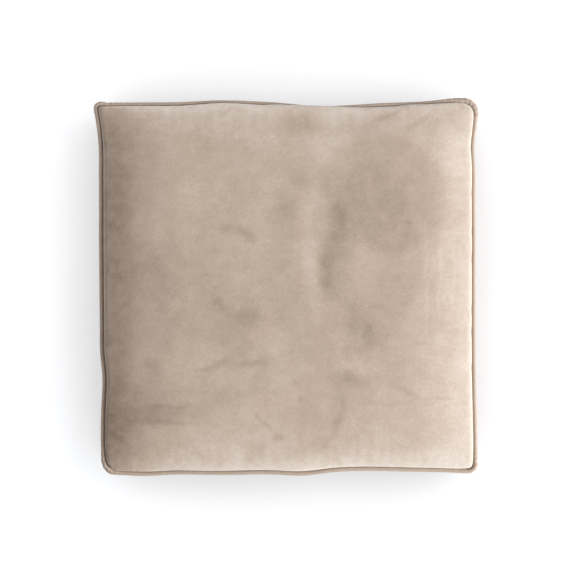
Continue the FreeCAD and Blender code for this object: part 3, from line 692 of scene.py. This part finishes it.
def strip_grid(name, columns, folded=None):
    """A boxing strip from columns of points, low to high. folded is -1 where the zip's folded
    edge is below the strip and 1 where it is above, and the cloth turns back on itself there."""
    columns = [list(map(Vector, column)) for column in columns]
    if folded:
        for column in columns:
            edge = column[0] if folded < 0 else column[-1]
            turned = [
                edge + Vector((0, -FOLD_DEPTH / 2, folded * FOLD_DROP)),
                edge + Vector((0, -FOLD_DEPTH, 0)),
                edge + Vector((0, -HEM_DEPTH, -folded * HEM_RISE)),
            ]
            if folded < 0:
                column[:0] = reversed(turned)
            else:
                column.extend(turned)
    points = [p for column in columns for p in column]
    return make_piece(name, points, turned_over(grid_faces(len(columns), len(columns[0]))))


def zip_columns(band):
    """The first and last columns of the rear side that lie between the ends of the zip."""
    middle_row = band[GAP_ROW]
    rear = [k for k in range(CELLS, 2 * CELLS) if abs(middle_row[k][0]) <= ZIP_END]
    return rear[0], rear[-1]


STRIP_GATHERS = ((8 * MM, 0.35 * MM, 10.0),)
STRIP_SLACK = ((45 * MM, 1.1 * MM, 11.0),)
UPRIGHT_GATHERS = (1, 1, 0.25)
UPRIGHT_SLACK = (1, 1, 0.6)
GATHERS_REACH = 10 * MM
STITCHED = 2 * MM
SLACK_FROM_SEAM = 12 * MM
STIFF_BY_ZIP = 10 * MM
NO_GATHERS_BY_ZIP = 12 * MM
SLACK_RISE = 20 * MM
FAR_OFF = 1.0


def wrinkle_strip(strip):
    """Faint upright slack in a strip, and gathers where it meets its seams. It is calm by the zip,
    whose tapes stiffen it."""
    points = read_points(strip.data)
    x, y, z = points.T
    faces_x = np.abs(x / HALF_X) > np.abs(y / HALF_Y)
    outward = np.column_stack([np.where(faces_x, np.sign(x), 0), np.where(faces_x, 0, np.sign(y))])
    to_seam = np.minimum(np.abs(z - TOP_SEAM), np.abs(z - BASE_SEAM))
    to_zip = np.where(in_zip(x, y), np.abs(z - ZIP_MIDDLE), FAR_OFF)
    gathers = layered_grain(points * UPRIGHT_GATHERS, STRIP_GATHERS) * np.exp(-to_seam / GATHERS_REACH)
    gathers *= np.clip(to_seam / STITCHED, 0, 1) * (to_zip > NO_GATHERS_BY_ZIP)
    slack = layered_grain(points * UPRIGHT_SLACK, STRIP_SLACK) * np.clip(to_seam / SLACK_FROM_SEAM, 0, 1)
    slack *= np.clip((to_zip - STIFF_BY_ZIP) / SLACK_RISE, 0, 1)
    points[:, :2] += outward * (gathers + slack)[:, None]
    write_points(strip.data, points)


def make_boxing(band, material):
    """Makes and returns the five strips of the side band, parted at the upright seams."""
    first_zip, last_zip = zip_columns(band)
    whole = {
        "front_boxing": range(3 * CELLS, 4 * CELLS + 1),
        "right_boxing": range(0, first_zip + 1),
        "left_boxing": range(last_zip, 3 * CELLS + 1),
    }
    strips = []
    for node, places in whole.items():
        columns = [band[:, k % RING] for k in places]
        strips.append((strip_grid(f"{node}_velvet", columns), node))
    zipped = range(first_zip, last_zip + 1)
    upper = [band[GAP_ROW + 1:, k] for k in zipped]
    lower = [band[:GAP_ROW + 1, k] for k in zipped]
    strips.append((strip_grid("zip_boxing_upper_velvet", upper, folded=-1), "zip_boxing_upper"))
    strips.append((strip_grid("zip_boxing_lower_velvet", lower, folded=1), "zip_boxing_lower"))
    for strip, node in strips:
        subdivided(strip)
        wrinkle_strip(strip)
        settle(strip, material, "velvet", "root", node)
    return [strip for strip, _ in strips]


# ---- piping

PIPING_STEPS = 880
PIPING_SIDES = 16
SWAY_SIZE = 70 * MM
SWAY_RISE = 0.9 * MM


def tube_round(name, line, radius, ripple):
    """A closed tube along a closed line of points. ripple(k, turn) adds to its radius by the
    place k along it and the turn round it. As it stands, its faces point inwards."""
    ahead = np.roll(line, -1, axis=0) - np.roll(line, 1, axis=0)
    ahead /= np.linalg.norm(ahead, axis=1, keepdims=True)
    up = np.array([0.0, 0.0, 1.0])
    side = np.cross(ahead, up)
    side /= np.linalg.norm(side, axis=1, keepdims=True)
    over = np.cross(side, ahead)
    turn = np.arange(PIPING_SIDES) * 2 * math.pi / PIPING_SIDES
    size = radius + ripple(np.arange(len(line))[:, None], turn[None, :])
    points = (
        line[:, None, :]
        + side[:, None, :] * (np.cos(turn)[None, :] * size)[..., None]
        + over[:, None, :] * (np.sin(turn)[None, :] * size)[..., None]
    ).reshape(-1, 3)
    return make_piece(name, points, grid_faces(len(line), PIPING_SIDES, ring=True, closed=True))


def piping_line(level, wander, seed):
    """The middle of the piping, a radius out from the seam, with a slight rise and fall."""
    flat = outline(PIPING_STEPS, out=PIPING_RADIUS, wander=wander)
    line = np.column_stack([flat, np.full(len(flat), level)])
    line[:, 2] += grain(line, SWAY_SIZE, seed) * SWAY_RISE
    return line


# How much the sleeve thickens where it is eased round each corner, by corner, in mm.
CORNER_BUNCH_MM = {(1, 1): 1.3, (-1, 1): 0.2, (-1, -1): 1.3, (1, -1): 0.4}
BUNCH_REACH = 26 * MM
CREASE_NEAR = 45 * MM
CREASE_SPACING = 8.4 * MM
CREASE_DEPTH = 0.06 * MM
CORNER_CREASE_DEPTH = 0.22 * MM
CREASE_WAVER = 3
ROUGH_SIZE = 7 * MM
ROUGH_DEPTH = 0.12 * MM


def bias_ripple(line, seed):
    """Slanting creases of the bias-cut sleeve, closer together and deeper at the corners."""
    run = run_along(line)
    phase = run / CREASE_SPACING * 2 * math.pi
    rough = grain(np.column_stack([run, run * 0, run * 0]), ROUGH_SIZE, seed)
    depth = CREASE_DEPTH + CORNER_CREASE_DEPTH * corner_nearness(line, CREASE_NEAR)
    steady = rough * ROUGH_DEPTH
    for corner, extra in CORNER_BUNCH_MM.items():
        steady += extra * MM * at_corner(line, corner, BUNCH_REACH)

    def ripple(k, turn):
        return np.sin(phase[k] + turn + rough[k] * CREASE_WAVER) * depth[k] + steady[k]

    return ripple


STRANDS = 3
STRAND_DEPTH = 0.35 * MM
CORD_TURNS = 300


def cord_strands(k, turn):
    """The hollows between the cord's twisted strands, as a change of its radius."""
    twist = 2 * math.pi * CORD_TURNS / PIPING_STEPS
    return (np.abs(np.sin((turn + k * twist) * STRANDS / 2)) - 1) * STRAND_DEPTH


def make_piping(material, cord_material):
    """Both runs of piping: a velvet sleeve round a twisted cotton cord."""
    for level, word, wander, seed in (
        (TOP_SEAM, "top", 1.0, 12.0),
        (BASE_SEAM, "base", BASE_WANDER, 13.0),
    ):
        line = piping_line(level, wander, seed)
        sleeve = tube_round(f"{word}_piping_velvet", line, PIPING_RADIUS, bias_ripple(line, seed))
        settle(sleeve, material, "velvet", "root", f"{word}_piping_sleeve")
        cord = tube_round(f"{word}_piping_filler", line, CORD_RADIUS, cord_strands)
        settle(cord, cord_material, "piping_filler", "root", f"{word}_piping_cord")


# ---- zip

COIL_PITCH = 1.35 * MM
COIL_WIRE = 0.32 * MM
WIRE_SIDES = 6
STEPS_PER_TURN = 10
# Below 1, the wire's turns are squarer than round.
SQUARED = 0.72


def coil(name, box, hand):
    """One side of the zip: a nylon wire wound along the tape. hand is 1 or -1, its winding."""
    low, high = box
    turns = int((high.x - low.x - 2 * COIL_WIRE) / COIL_PITCH)
    middle_y, middle_z = (low.y + high.y) / 2, (low.z + high.z) / 2
    deep = (high.y - low.y) / 2 - COIL_WIRE
    wide = (high.z - low.z) / 2 - COIL_WIRE
    turn = np.linspace(0, turns * 2 * math.pi, turns * STEPS_PER_TURN + 1)
    x = low.x + COIL_WIRE + turn / (2 * math.pi) * COIL_PITCH
    y = middle_y + np.sign(np.sin(turn)) * np.abs(np.sin(turn)) ** SQUARED * deep
    z = middle_z + np.sign(np.cos(turn)) * np.abs(np.cos(turn)) ** SQUARED * wide * hand
    return open_tube(name, np.column_stack([x, y, z]), COIL_WIRE, WIRE_SIDES)


# A direction that a coil's wire never runs in, so that it can be crossed with the wire's own.
NEARLY_X = np.array([1.0, 0.02, 0.01])


def open_tube(name, line, radius, sides):
    """A tube along an open line of points, closed at both ends."""
    ahead = np.gradient(line, axis=0)
    ahead /= np.linalg.norm(ahead, axis=1, keepdims=True)
    side = np.cross(ahead, NEARLY_X)
    side /= np.maximum(np.linalg.norm(side, axis=1, keepdims=True), TINY)
    over = np.cross(ahead, side)
    turn = np.arange(sides) * 2 * math.pi / sides
    points = (
        line[:, None, :]
        + side[:, None, :] * np.cos(turn)[None, :, None] * radius
        + over[:, None, :] * np.sin(turn)[None, :, None] * radius
    ).reshape(-1, 3)
    return make_piece(name, points, tube_faces(len(line), sides))


STITCH_LENGTH = 2.8 * MM
STITCH_GAP = 0.9 * MM
STITCH_RADIUS = 0.28 * MM
STITCH_SIDES = 6
STITCH_STEPS = 6
# As shares of the thread's radius: its ends' thickness, its rise, and how deep its ends lie.
STITCH_END = 0.45
STITCH_RISE = 1.5
STITCH_SUNK = 0.5


def stitch_row(name, line_at, start, end):
    """A row of stitches from start to end: each a thread that rises out of the cloth and dives in."""
    points, faces = [], []
    place = start
    while place + STITCH_LENGTH < end:
        faces += tube_faces(STITCH_STEPS, STITCH_SIDES, len(points))
        for k in range(STITCH_STEPS):
            share = k / (STITCH_STEPS - 1)
            bulge = math.sin(share * math.pi)
            x, y, z = line_at(place + share * STITCH_LENGTH)
            thick = STITCH_RADIUS * (STITCH_END + (1 - STITCH_END) * bulge)
            lift = STITCH_RADIUS * (STITCH_RISE * bulge - STITCH_SUNK)
            for t in range(STITCH_SIDES):
                angle = t * 2 * math.pi / STITCH_SIDES
                points.append((x, y + lift + thick * math.cos(angle), z + thick * math.sin(angle)))
        place += STITCH_LENGTH + STITCH_GAP
    return make_piece(name, points, faces)


TOPSTITCH_FROM_EDGE = 6 * MM
TOPSTITCH_END = 3 * MM


def make_zip(band, materials):
    """Coils and topstitching. The slider, the pull, the tapes and the stops are the CAD's own."""
    for name, box, node, hand in (
        ("zip_coil_upper_wire", COIL_UPPER, "zip_coil_upper", 1),
        ("zip_coil_lower_wire", COIL_LOWER, "zip_coil_lower", -1),
    ):
        settle(coil(name, box, hand), materials["nylon"], "zip_nylon", "root", node)
    first_zip, last_zip = zip_columns(band)
    for word, z in (
        ("upper", ZIP_TOP_EDGE + TOPSTITCH_FROM_EDGE),
        ("lower", ZIP_LOW_EDGE - TOPSTITCH_FROM_EDGE),
    ):
        columns = band[:, first_zip:last_zip + 1]
        at_height = np.array([
            [np.interp(z, column[:, 2], column[:, 0]), np.interp(z, column[:, 2], column[:, 1])]
            for column in np.swapaxes(columns, 0, 1)
        ])
        order = np.argsort(at_height[:, 0])
        xs, ys = at_height[order, 0], at_height[order, 1]
        row = stitch_row(
            f"zip_topstitch_{word}",
            lambda x: (x, float(np.interp(x, xs, ys)), z),
            -ZIP_END + TOPSTITCH_END,
            ZIP_END - TOPSTITCH_END,
        )
        settle(row, materials["thread"], "velvet", "root")


# ---- insert, inside the cover

FOAM_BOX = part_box("insert_foam_core")
CASING_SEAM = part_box("insert_casing_upper")[0].z
FOAM_VOXEL = 5 * MM
FOAM_GIVE = 0.6 * MM
DENT_SIZE = 30 * MM
TUFT_SIZE = 18 * MM
CASING_INSET = 7.5 * MM
CASING_DROP = 2.2 * MM
CASING_CLOTH = 0.6 * MM
WADDING_INSET = 10.5 * MM
WADDING_DROP = 4.0 * MM
WADDING_EDGE = 1.2 * MM
LAYER_GAP = 0.4 * MM
BAND_EDGE = 9 * MM
# The foam's corners are sharper than the cover's, by this share of their radii.
FOAM_CORNERS = 0.2


def soft_block(node, name):
    """A softened copy of a CAD node, with its faces slightly uneven."""
    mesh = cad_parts[node].data.copy()
    mesh.materials.clear()
    piece = bpy.data.objects.new(name, mesh)
    bpy.context.scene.collection.objects.link(piece)
    remesh = piece.modifiers.new("even", "REMESH")
    remesh.mode, remesh.voxel_size = "VOXEL", FOAM_VOXEL
    relax = piece.modifiers.new("relax", "SMOOTH")
    relax.factor, relax.iterations = 0.5, 2
    even = apply_modifiers(piece).data
    points = read_points(even)
    dent = (1 + grain(points, DENT_SIZE, 21.0)) * FOAM_GIVE
    write_points(even, points - read_points(even, "normal") * dent[:, None])
    return piece


def drawn_in(points, inset):
    """Moves points towards the upright axis, so that those at the cover's rim move by an inset."""
    moved = points.copy()
    moved[:, 0] *= 1 - inset / HALF_X
    moved[:, 1] *= 1 - inset / HALF_Y
    return moved


def inner_distance(inset):
    """How far the places of a drawn-in grid lie from the cover's own rim, along X and along Y."""
    dx, dy = edge_distance()
    return dx * (1 - inset / HALF_X) + inset, dy * (1 - inset / HALF_Y) + inset


def under_top(inset, drop):
    """A grid inside the top panel: its rim is an inset in, and it lies a drop below the cloth."""
    flat = drawn_in(fill_in(outline(RING)), inset)
    return np.column_stack([flat, TOP_SEAM + crown_height(*inner_distance(inset)) - drop])


def over_base(inset, lift):
    """A grid inside the base panel: its rim is an inset in, and it lies a lift above the cloth."""
    flat = drawn_in(fill_in(true_outline()), inset)
    return np.column_stack([flat, base_height(*inner_distance(inset)) + lift])


def walled_sheet(name, cap, walls, upward):
    """A panel's grid with walls that hang from its rim, given as rings of points in order."""
    faces = panel_faces()
    above = rim_indices()
    for row in range(len(walls)):
        first = len(cap) + row * RING
        below = range(first, first + RING)
        faces += joined_rings(below, above)
        above = below
    return make_piece(name, np.vstack([cap, *walls]), faces if upward else turned_over(faces))


def thickened(piece, thickness):
    """Gives a sheet its cloth's thickness, inwards."""
    modifier = piece.modifiers.new("cloth", "SOLIDIFY")
    modifier.thickness, modifier.offset = thickness, -1
    return apply_modifiers(piece)


def slab(name, plan, high, low):
    """A closed layer over a grid of (x, y) points, between two sets of heights."""
    points = np.vstack([np.column_stack([plan, high]), np.column_stack([plan, low])])
    below = turned_over(grid_faces(CELLS + 1, CELLS + 1, first=len(plan)))
    rim = rim_indices()
    walls = joined_rings([k + len(plan) for k in rim], rim)
    return make_piece(name, points, panel_faces() + below + walls)


def make_foam(material):
    """The foam block. Its top edges give way under the tighter wadding near the rim."""
    foam = soft_block("insert_foam_core", "foam_core_block")
    points = read_points(foam.data)
    away = seam_distance(points)
    away_x = np.minimum(away["right"], away["left"])
    away_y = np.minimum(away["rear"], away["front"])
    ceiling = TOP_SEAM + crown_height(away_x, away_y) - WADDING_DROP - WADDING_EDGE - 2 * LAYER_GAP
    points[:, 2] = np.minimum(points[:, 2], ceiling)
    write_points(foam.data, points)
    settle(foam, material, "foam", "root", "insert_foam_core")


def wadding_ring():
    """The wadding round the foam's sides: two walls of points, joined above and below."""
    outer = [
        drawn_in(row, WADDING_INSET)
        for row in band_start()
        if FOAM_BOX[0].z + BAND_EDGE < row[0, 2] < FOAM_BOX[1].z - BAND_EDGE
    ]
    near_foam = outline(RING, wander=0, in_corner=FOAM_CORNERS)
    near_foam[:, 0] *= (FOAM_BOX[1].x + LAYER_GAP) / HALF_X
    near_foam[:, 1] *= (FOAM_BOX[1].y + LAYER_GAP) / HALF_Y
    inner = [np.column_stack([near_foam, row[:, 2]]) for row in outer]
    rings = outer + inner[::-1]
    faces = grid_faces(len(rings), RING, ring=True, closed=True)
    return make_piece("wadding_band_layer", np.vstack(rings), faces)


def make_wadding(material):
    """Three layers round the foam. The top one droops past the foam's edges."""
    over = under_top(WADDING_INSET, WADDING_DROP)
    over[:, 2] += grain(over * (1, 1, 0), TUFT_SIZE, 22.0) * LAYER_GAP
    foam_side = np.minimum(FOAM_BOX[1].z + LAYER_GAP, over[:, 2] - WADDING_EDGE)
    above = slab("wadding_top_layer", over[:, :2], over[:, 2], foam_side)
    under = over_base(WADDING_INSET, WADDING_DROP)
    foam_side = np.maximum(FOAM_BOX[0].z - LAYER_GAP, under[:, 2] + WADDING_EDGE)
    below = slab("wadding_base_layer", under[:, :2], foam_side, under[:, 2])
    for piece, word in ((wadding_ring(), "band"), (above, "top"), (below, "base")):
        settle(piece, material, "wadding", "root", f"insert_wadding_{word}")


def make_casing(material):
    """Two halves of cotton cloth, joined by a seam half way up the side."""
    rows = [drawn_in(row, CASING_INSET) for row in band_start()]
    seam = (rows[GAP_ROW] + rows[GAP_ROW + 1]) / 2
    seam[:, 2] = CASING_SEAM
    upper_walls = rows[:GAP_ROW:-1] + [seam]
    lower_walls = rows[:GAP_ROW + 1] + [seam]
    for word, cap, walls, upward in (
        ("upper", under_top(CASING_INSET, CASING_DROP), upper_walls, True),
        ("lower", over_base(CASING_INSET, CASING_DROP), lower_walls, False),
    ):
        sheet = thickened(walled_sheet(f"casing_{word}_cloth", cap, walls, upward), CASING_CLOTH)
        settle(sheet, material, "casing_cloth", "root", f"insert_casing_{word}")


def make_insert(materials):
    """Foam, wadding and casing. All of it is out of sight, and lies inside the cover."""
    make_foam(materials["foam"])
    make_wadding(materials["wadding"])
    make_casing(materials["casing"])


# ---- materials


class Nodes:
    """Short ways to add and join shader nodes of one material."""

    def __init__(self, name):
        self.material = bpy.data.materials.new(name)
        self.material.use_nodes = True
        self.tree = self.material.node_tree
        self.shader = self.tree.nodes["Principled BSDF"]
        self.place = self.tree.nodes.new("ShaderNodeTexCoord").outputs["Object"]

    def set(self, **values):
        for name, value in values.items():
            self.shader.inputs[name.replace("_", " ")].default_value = value

    def link(self, source, target):
        self.tree.links.new(source, target)

    def add(self, kind, vector=None, **inputs):
        """Adds a node with these values for its inputs, and returns it."""
        node = self.tree.nodes.new(f"ShaderNode{kind}")
        for name, value in inputs.items():
            node.inputs[name].default_value = value
        if vector:
            self.link(vector, node.inputs["Vector"])
        return node

    def noise(self, scale, detail=3.0, roughness=0.5, stretch=None):
        vector = self.place
        if stretch:
            vector = self.add("Mapping", self.place, Scale=stretch).outputs["Vector"]
        return self.add("TexNoise", vector, Scale=scale, Detail=detail, Roughness=roughness).outputs["Fac"]

    def wave(self, scale, direction):
        node = self.add("TexWave", self.place, Scale=scale, Distortion=WEAVE_WAVER)
        node.bands_direction = direction
        return node.outputs["Fac"]

    def cells(self, scale):
        return self.add("TexVoronoi", self.place, Scale=scale).outputs["Distance"]

    def sum(self, parts, base=0.0):
        """base plus each (output, weight), as one value."""
        total = None
        for output, weight in parts:
            node = self.add("Math")
            node.operation = "MULTIPLY_ADD"
            self.link(output, node.inputs[0])
            node.inputs[1].default_value = weight
            if total is None:
                node.inputs[2].default_value = base
            else:
                self.link(total, node.inputs[2])
            total = node.outputs[0]
        return total

    def ramp(self, value, *stops):
        """Colours by (place, (r, g, b)) stops."""
        node = self.add("ValToRGB")
        line = node.color_ramp.elements
        while len(line) < len(stops):
            line.new(0.5)
        for element, (place, colour) in zip(line, stops):
            element.position = place
            element.color = (*colour, 1)
        self.link(value, node.inputs["Fac"])
        return node.outputs["Color"]

    def bump(self, height, strength, distance):
        node = self.add("Bump", Strength=strength, Distance=distance)
        self.link(height, node.inputs["Height"])
        self.link(node.outputs["Normal"], self.shader.inputs["Normal"])

    def attribute(self, name):
        node = self.add("Attribute")
        node.attribute_name = name
        return node.outputs["Fac"]

    def colour(self, output):
        self.link(output, self.shader.inputs["Base Color"])

    def rough(self, output):
        self.link(output, self.shader.inputs["Roughness"])


# The ramp's pale end also colours the painted sheen and painted highlight along the top's edges, and its dark
# end the painted shade on the left.
VELVET_DARK = (0.200, 0.150, 0.112)
VELVET_MID = (0.420, 0.334, 0.272)
VELVET_LIGHT = (0.672, 0.616, 0.562)
SHEEN_TINT = (1.0, 0.94, 0.88, 1)
WEAVE_WAVER = 0.6
FOAM_PORE, FOAM_FACE = (0.55, 0.47, 0.24), (0.84, 0.76, 0.50)
ENAMEL_DARK, ENAMEL, WORN_METAL = (0.150, 0.118, 0.090), (0.230, 0.184, 0.145), (0.42, 0.38, 0.34)
NYLON_DARK, NYLON_LIGHT = (0.20, 0.155, 0.115), (0.29, 0.235, 0.18)
FLOOR_DARK, FLOOR_LIGHT = (0.885, 0.900, 0.920), (0.905, 0.920, 0.940)


def velvet(name, with_nap_and_painted_light, base, sheen):
    """Cut-pile velvet: brushed lights and darks, a fine pile and a pale sheen at grazing angles. With the
    attribute it also shows painted shade and painted highlight.
    """
    made = Nodes(name)
    soft = made.noise(14, 4, 0.55)
    cloudy = made.noise(45, 5, 0.6)
    mottled = made.noise(130, 4, 0.65)
    brushed = made.noise(30, 4, 0.6, stretch=(1.0, 3.0, 1.0))
    pile = made.noise(1500, 2, 0.6)
    tuft = made.noise(420, 3, 0.7)
    parts = [(soft, 0.08), (cloudy, 0.11), (mottled, 0.20), (brushed, 0.10), (pile, 0.14), (tuft, 0.38)]
    middle = sum(weight for _, weight in parts) / 2
    if with_nap_and_painted_light:
        # the attribute adds the nap's marks and the painted shade and painted highlight of the top
        parts.append((made.attribute("nap_and_painted_light"), 1.0))
    value = made.sum(parts, base - middle)
    made.colour(made.ramp(value, (0.0, VELVET_DARK), (0.5, VELVET_MID), (1.0, VELVET_LIGHT)))
    made.rough(made.sum([(cloudy, 0.12)], 0.78))
    made.bump(made.sum([(pile, 0.5), (tuft, 0.35), (mottled, 0.15)]), 0.4, 0.3 * MM)
    made.set(Sheen_Weight=sheen, Sheen_Roughness=0.26, Sheen_Tint=SHEEN_TINT, Specular_IOR_Level=0.1)
    return made.material


def woven(name, dark, light, threads, roughness=0.85, sheen=0.1):
    """Plain woven cloth or tape, with its threads as crossing waves."""
    made = Nodes(name)
    along = made.wave(threads, "X")
    across = made.wave(threads, "Z")
    level = made.wave(threads, "Y")
    weave = made.sum([(along, 0.34), (across, 0.33), (level, 0.33)])
    mottle = made.noise(120, 3)
    made.colour(made.ramp(made.sum([(weave, 0.6), (mottle, 0.4)]), (0.2, dark), (0.8, light)))
    made.rough(made.sum([(mottle, 0.1)], roughness - 0.05))
    made.bump(weave, 0.5, 0.15 * MM)
    made.set(Sheen_Weight=sheen, Specular_IOR_Level=0.2)
    return made.material


def fibrous(name, dark, light, scale, depth):
    """Lofty fibre, matted in all directions."""
    made = Nodes(name)
    strand = made.noise(scale, 8, 0.75, stretch=(1.0, 2.6, 1.4))
    clump = made.noise(scale / 8, 4)
    made.colour(made.ramp(made.sum([(strand, 0.7), (clump, 0.3)]), (0.25, dark), (0.75, light)))
    made.rough(made.sum([(clump, 0.1)], 0.88))
    made.bump(strand, 0.8, depth)
    made.set(Sheen_Weight=0.25, Specular_IOR_Level=0.15)
    return made.material


def foamed(name):
    """Open-cell foam: pale yellow, with small pores."""
    made = Nodes(name)
    pores = made.cells(900)
    tone = made.noise(20, 4)
    made.colour(made.ramp(made.sum([(pores, 0.6), (tone, 0.4)]), (0.1, FOAM_PORE), (0.7, FOAM_FACE)))
    made.rough(made.sum([(tone, 0.1)], 0.85))
    made.bump(pores, 0.7, 0.4 * MM)
    made.set(Specular_IOR_Level=0.2)
    return made.material


def enamelled(name):
    """Cast zinc with a taupe enamel, worn brighter where the noise says."""
    made = Nodes(name)
    worn = made.noise(700, 4, 0.7)
    cast = made.noise(2600, 2)
    made.colour(made.ramp(worn, (0.35, ENAMEL_DARK), (0.62, ENAMEL), (0.78, WORN_METAL)))
    made.rough(made.sum([(worn, 0.25)], 0.22))
    made.bump(cast, 0.2, 0.03 * MM)
    made.set(Metallic=0.55, Coat_Weight=0.3, Coat_Roughness=0.25)
    return made.material


def nylon(name):
    made = Nodes(name)
    tone = made.noise(300, 3)
    made.colour(made.ramp(tone, (0.3, NYLON_DARK), (0.7, NYLON_LIGHT)))
    made.rough(made.sum([(tone, 0.15)], 0.32))
    made.bump(made.noise(4000, 2), 0.15, 0.02 * MM)
    made.set(Specular_IOR_Level=0.5)
    return made.material


def make_materials():
    return {
        "velvet_top": velvet("velvet_top", True, 0.48, 1.0),
        "velvet_side": velvet("velvet_side", False, 0.46, 0.9),
        "velvet_piping": velvet("velvet_piping", False, 0.42, 0.55),
        "cotton": woven("cotton_filler", (0.62, 0.58, 0.50), (0.86, 0.83, 0.76), 900),
        "casing": woven("casing_cloth", (0.70, 0.70, 0.69), (0.90, 0.90, 0.89), 1100, 0.9),
        "tape": woven("zip_tape_weave", (0.16, 0.125, 0.095), (0.28, 0.225, 0.175), 700),
        "label": woven("label_satin", (0.80, 0.80, 0.78), (0.93, 0.93, 0.91), 1500, 0.5, sheen=0.3),
        "thread": woven("taupe_thread", (0.25, 0.195, 0.15), (0.44, 0.36, 0.29), 1600, 0.6, sheen=0.3),
        "wadding": fibrous("polyester_wadding", (0.70, 0.70, 0.70), (0.95, 0.95, 0.95), 260, 1.0 * MM),
        "foam": foamed("cut_foam"),
        "metal": enamelled("enamelled_zinc"),
        "nylon": nylon("nylon_wire"),
    }


def dress_nodes(materials):
    """Better materials for the CAD's own pieces."""
    dressed = {
        "metal": ["zip_top_stops", "zip_bottom_stop", "zip_slider_body", "zip_pull_tab"],
        "tape": ["zip_tape_upper", "zip_tape_lower"],
        "label": ["care_label"],
    }
    for key, nodes in dressed.items():
        for node in nodes:
            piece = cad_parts[node]
            for slot in piece.material_slots:
                slot.material = materials[key]


# ---- floor, light and camera

LENS_MM = 100
SENSOR_MM = 36
# What the picture takes in at the height of the top seam, and where its middle lies.
VIEW_WIDTH = 0.9155
VIEW_MIDDLE = (0.0008, -0.0003)

FLOOR_SIZE = 4.5
KEY_PLACE = (3.6, -1.2, 2.2)
LAMP_AIM = (0, 0, 0.1)
WORLD_LIGHT = 0.27
WORLD_SEEN = 1.0


def make_floor():
    """A plain white floor."""
    bpy.ops.mesh.primitive_plane_add(size=FLOOR_SIZE, location=(0, 0, 0))
    floor = bpy.context.object
    floor.name = "studio_floor"
    made = Nodes("floor_white")
    tone = made.noise(3, 2)
    made.colour(made.ramp(tone, (0.3, FLOOR_DARK), (0.7, FLOOR_LIGHT)))
    made.set(Roughness=0.9, Specular_IOR_Level=0.0)
    floor.data.materials.append(made.material)
    return floor


def add_area(name, place, size, power):
    """A square lamp that faces the cushion's middle."""
    light = bpy.data.lights.new(name, "AREA")
    light.size, light.energy = size, power
    lamp = bpy.data.objects.new(name, light)
    lamp.location = place
    lamp.rotation_euler = (Vector(LAMP_AIM) - Vector(place)).to_track_quat("-Z", "Y").to_euler()
    bpy.context.scene.collection.objects.link(lamp)
    return lamp


def aim_at(lamp, pieces, state):
    """Lets a lamp light these pieces and nothing else (INCLUDE), or all but these (EXCLUDE)."""
    group = bpy.data.collections.new(f"{lamp.name}_receivers")
    for piece in pieces:
        group.objects.link(piece)
    for member in group.collection_objects:
        member.light_linking.link_state = state
    lamp.light_linking.receiver_collection = group


def make_world():
    """An even white surround: dim where it lights, and white where the camera sees it."""
    world = bpy.data.worlds.new("white_room")
    world.use_nodes = True
    tree = world.node_tree
    seen = tree.nodes.new("ShaderNodeLightPath").outputs["Is Camera Ray"]
    level = tree.nodes.new("ShaderNodeMath")
    level.operation = "MULTIPLY_ADD"
    level.inputs[1].default_value = WORLD_SEEN - WORLD_LIGHT
    level.inputs[2].default_value = WORLD_LIGHT
    tree.links.new(seen, level.inputs[0])
    tree.links.new(level.outputs[0], tree.nodes["Background"].inputs["Strength"])
    tree.nodes["Background"].inputs["Color"].default_value = (1, 1, 1, 1)
    bpy.context.scene.world = world


def make_lights(floor, walls):
    """A broad key, low on the right and front, and an even white surround. The key is stronger on
    the top than on the walls. The floor has lamps of its own, so that it stays white with a soft
    shadow."""
    for name, place, size, power, pieces, state in (
        ("key_light", KEY_PLACE, 1.6, 150, [floor], "EXCLUDE"),
        ("top_key_light", KEY_PLACE, 1.6, 210, [floor, *walls], "EXCLUDE"),
        ("fill_light", (-2.4, 2.4, 1.5), 2.0, 60, [floor], "EXCLUDE"),
        ("floor_light", (0, 0, 3.0), 12.0, 505, [floor], "INCLUDE"),
        ("floor_side_light", (2.0, 0.4, 3.0), 2.0, 20, [floor], "INCLUDE"),
    ):
        aim_at(add_area(name, place, size, power), pieces, state)
    make_world()


def make_camera():
    """Looks straight down, with the rear of the cushion at the top of the picture."""
    data = bpy.data.cameras.new("camera")
    data.lens, data.sensor_width = LENS_MM, SENSOR_MM
    camera = bpy.data.objects.new("camera", data)
    camera.location = (*VIEW_MIDDLE, TOP_SEAM + VIEW_WIDTH * LENS_MM / SENSOR_MM)
    bpy.context.scene.collection.objects.link(camera)
    bpy.context.scene.camera = camera
    bpy.context.scene.view_settings.view_transform = "Standard"
    bpy.context.scene.view_settings.look = "None"


# ---- the cushion


def main():
    materials = make_materials()
    make_camera()
    top, band = cover_shapes()
    make_top_panel(top, materials["velvet_top"])
    make_base_panel(materials["velvet_side"])
    walls = make_boxing(band, materials["velvet_side"])
    make_piping(materials["velvet_piping"], materials["cotton"])
    make_zip(band, materials)
    make_insert(materials)
    dress_nodes(materials)
    make_lights(make_floor(), walls)


main()
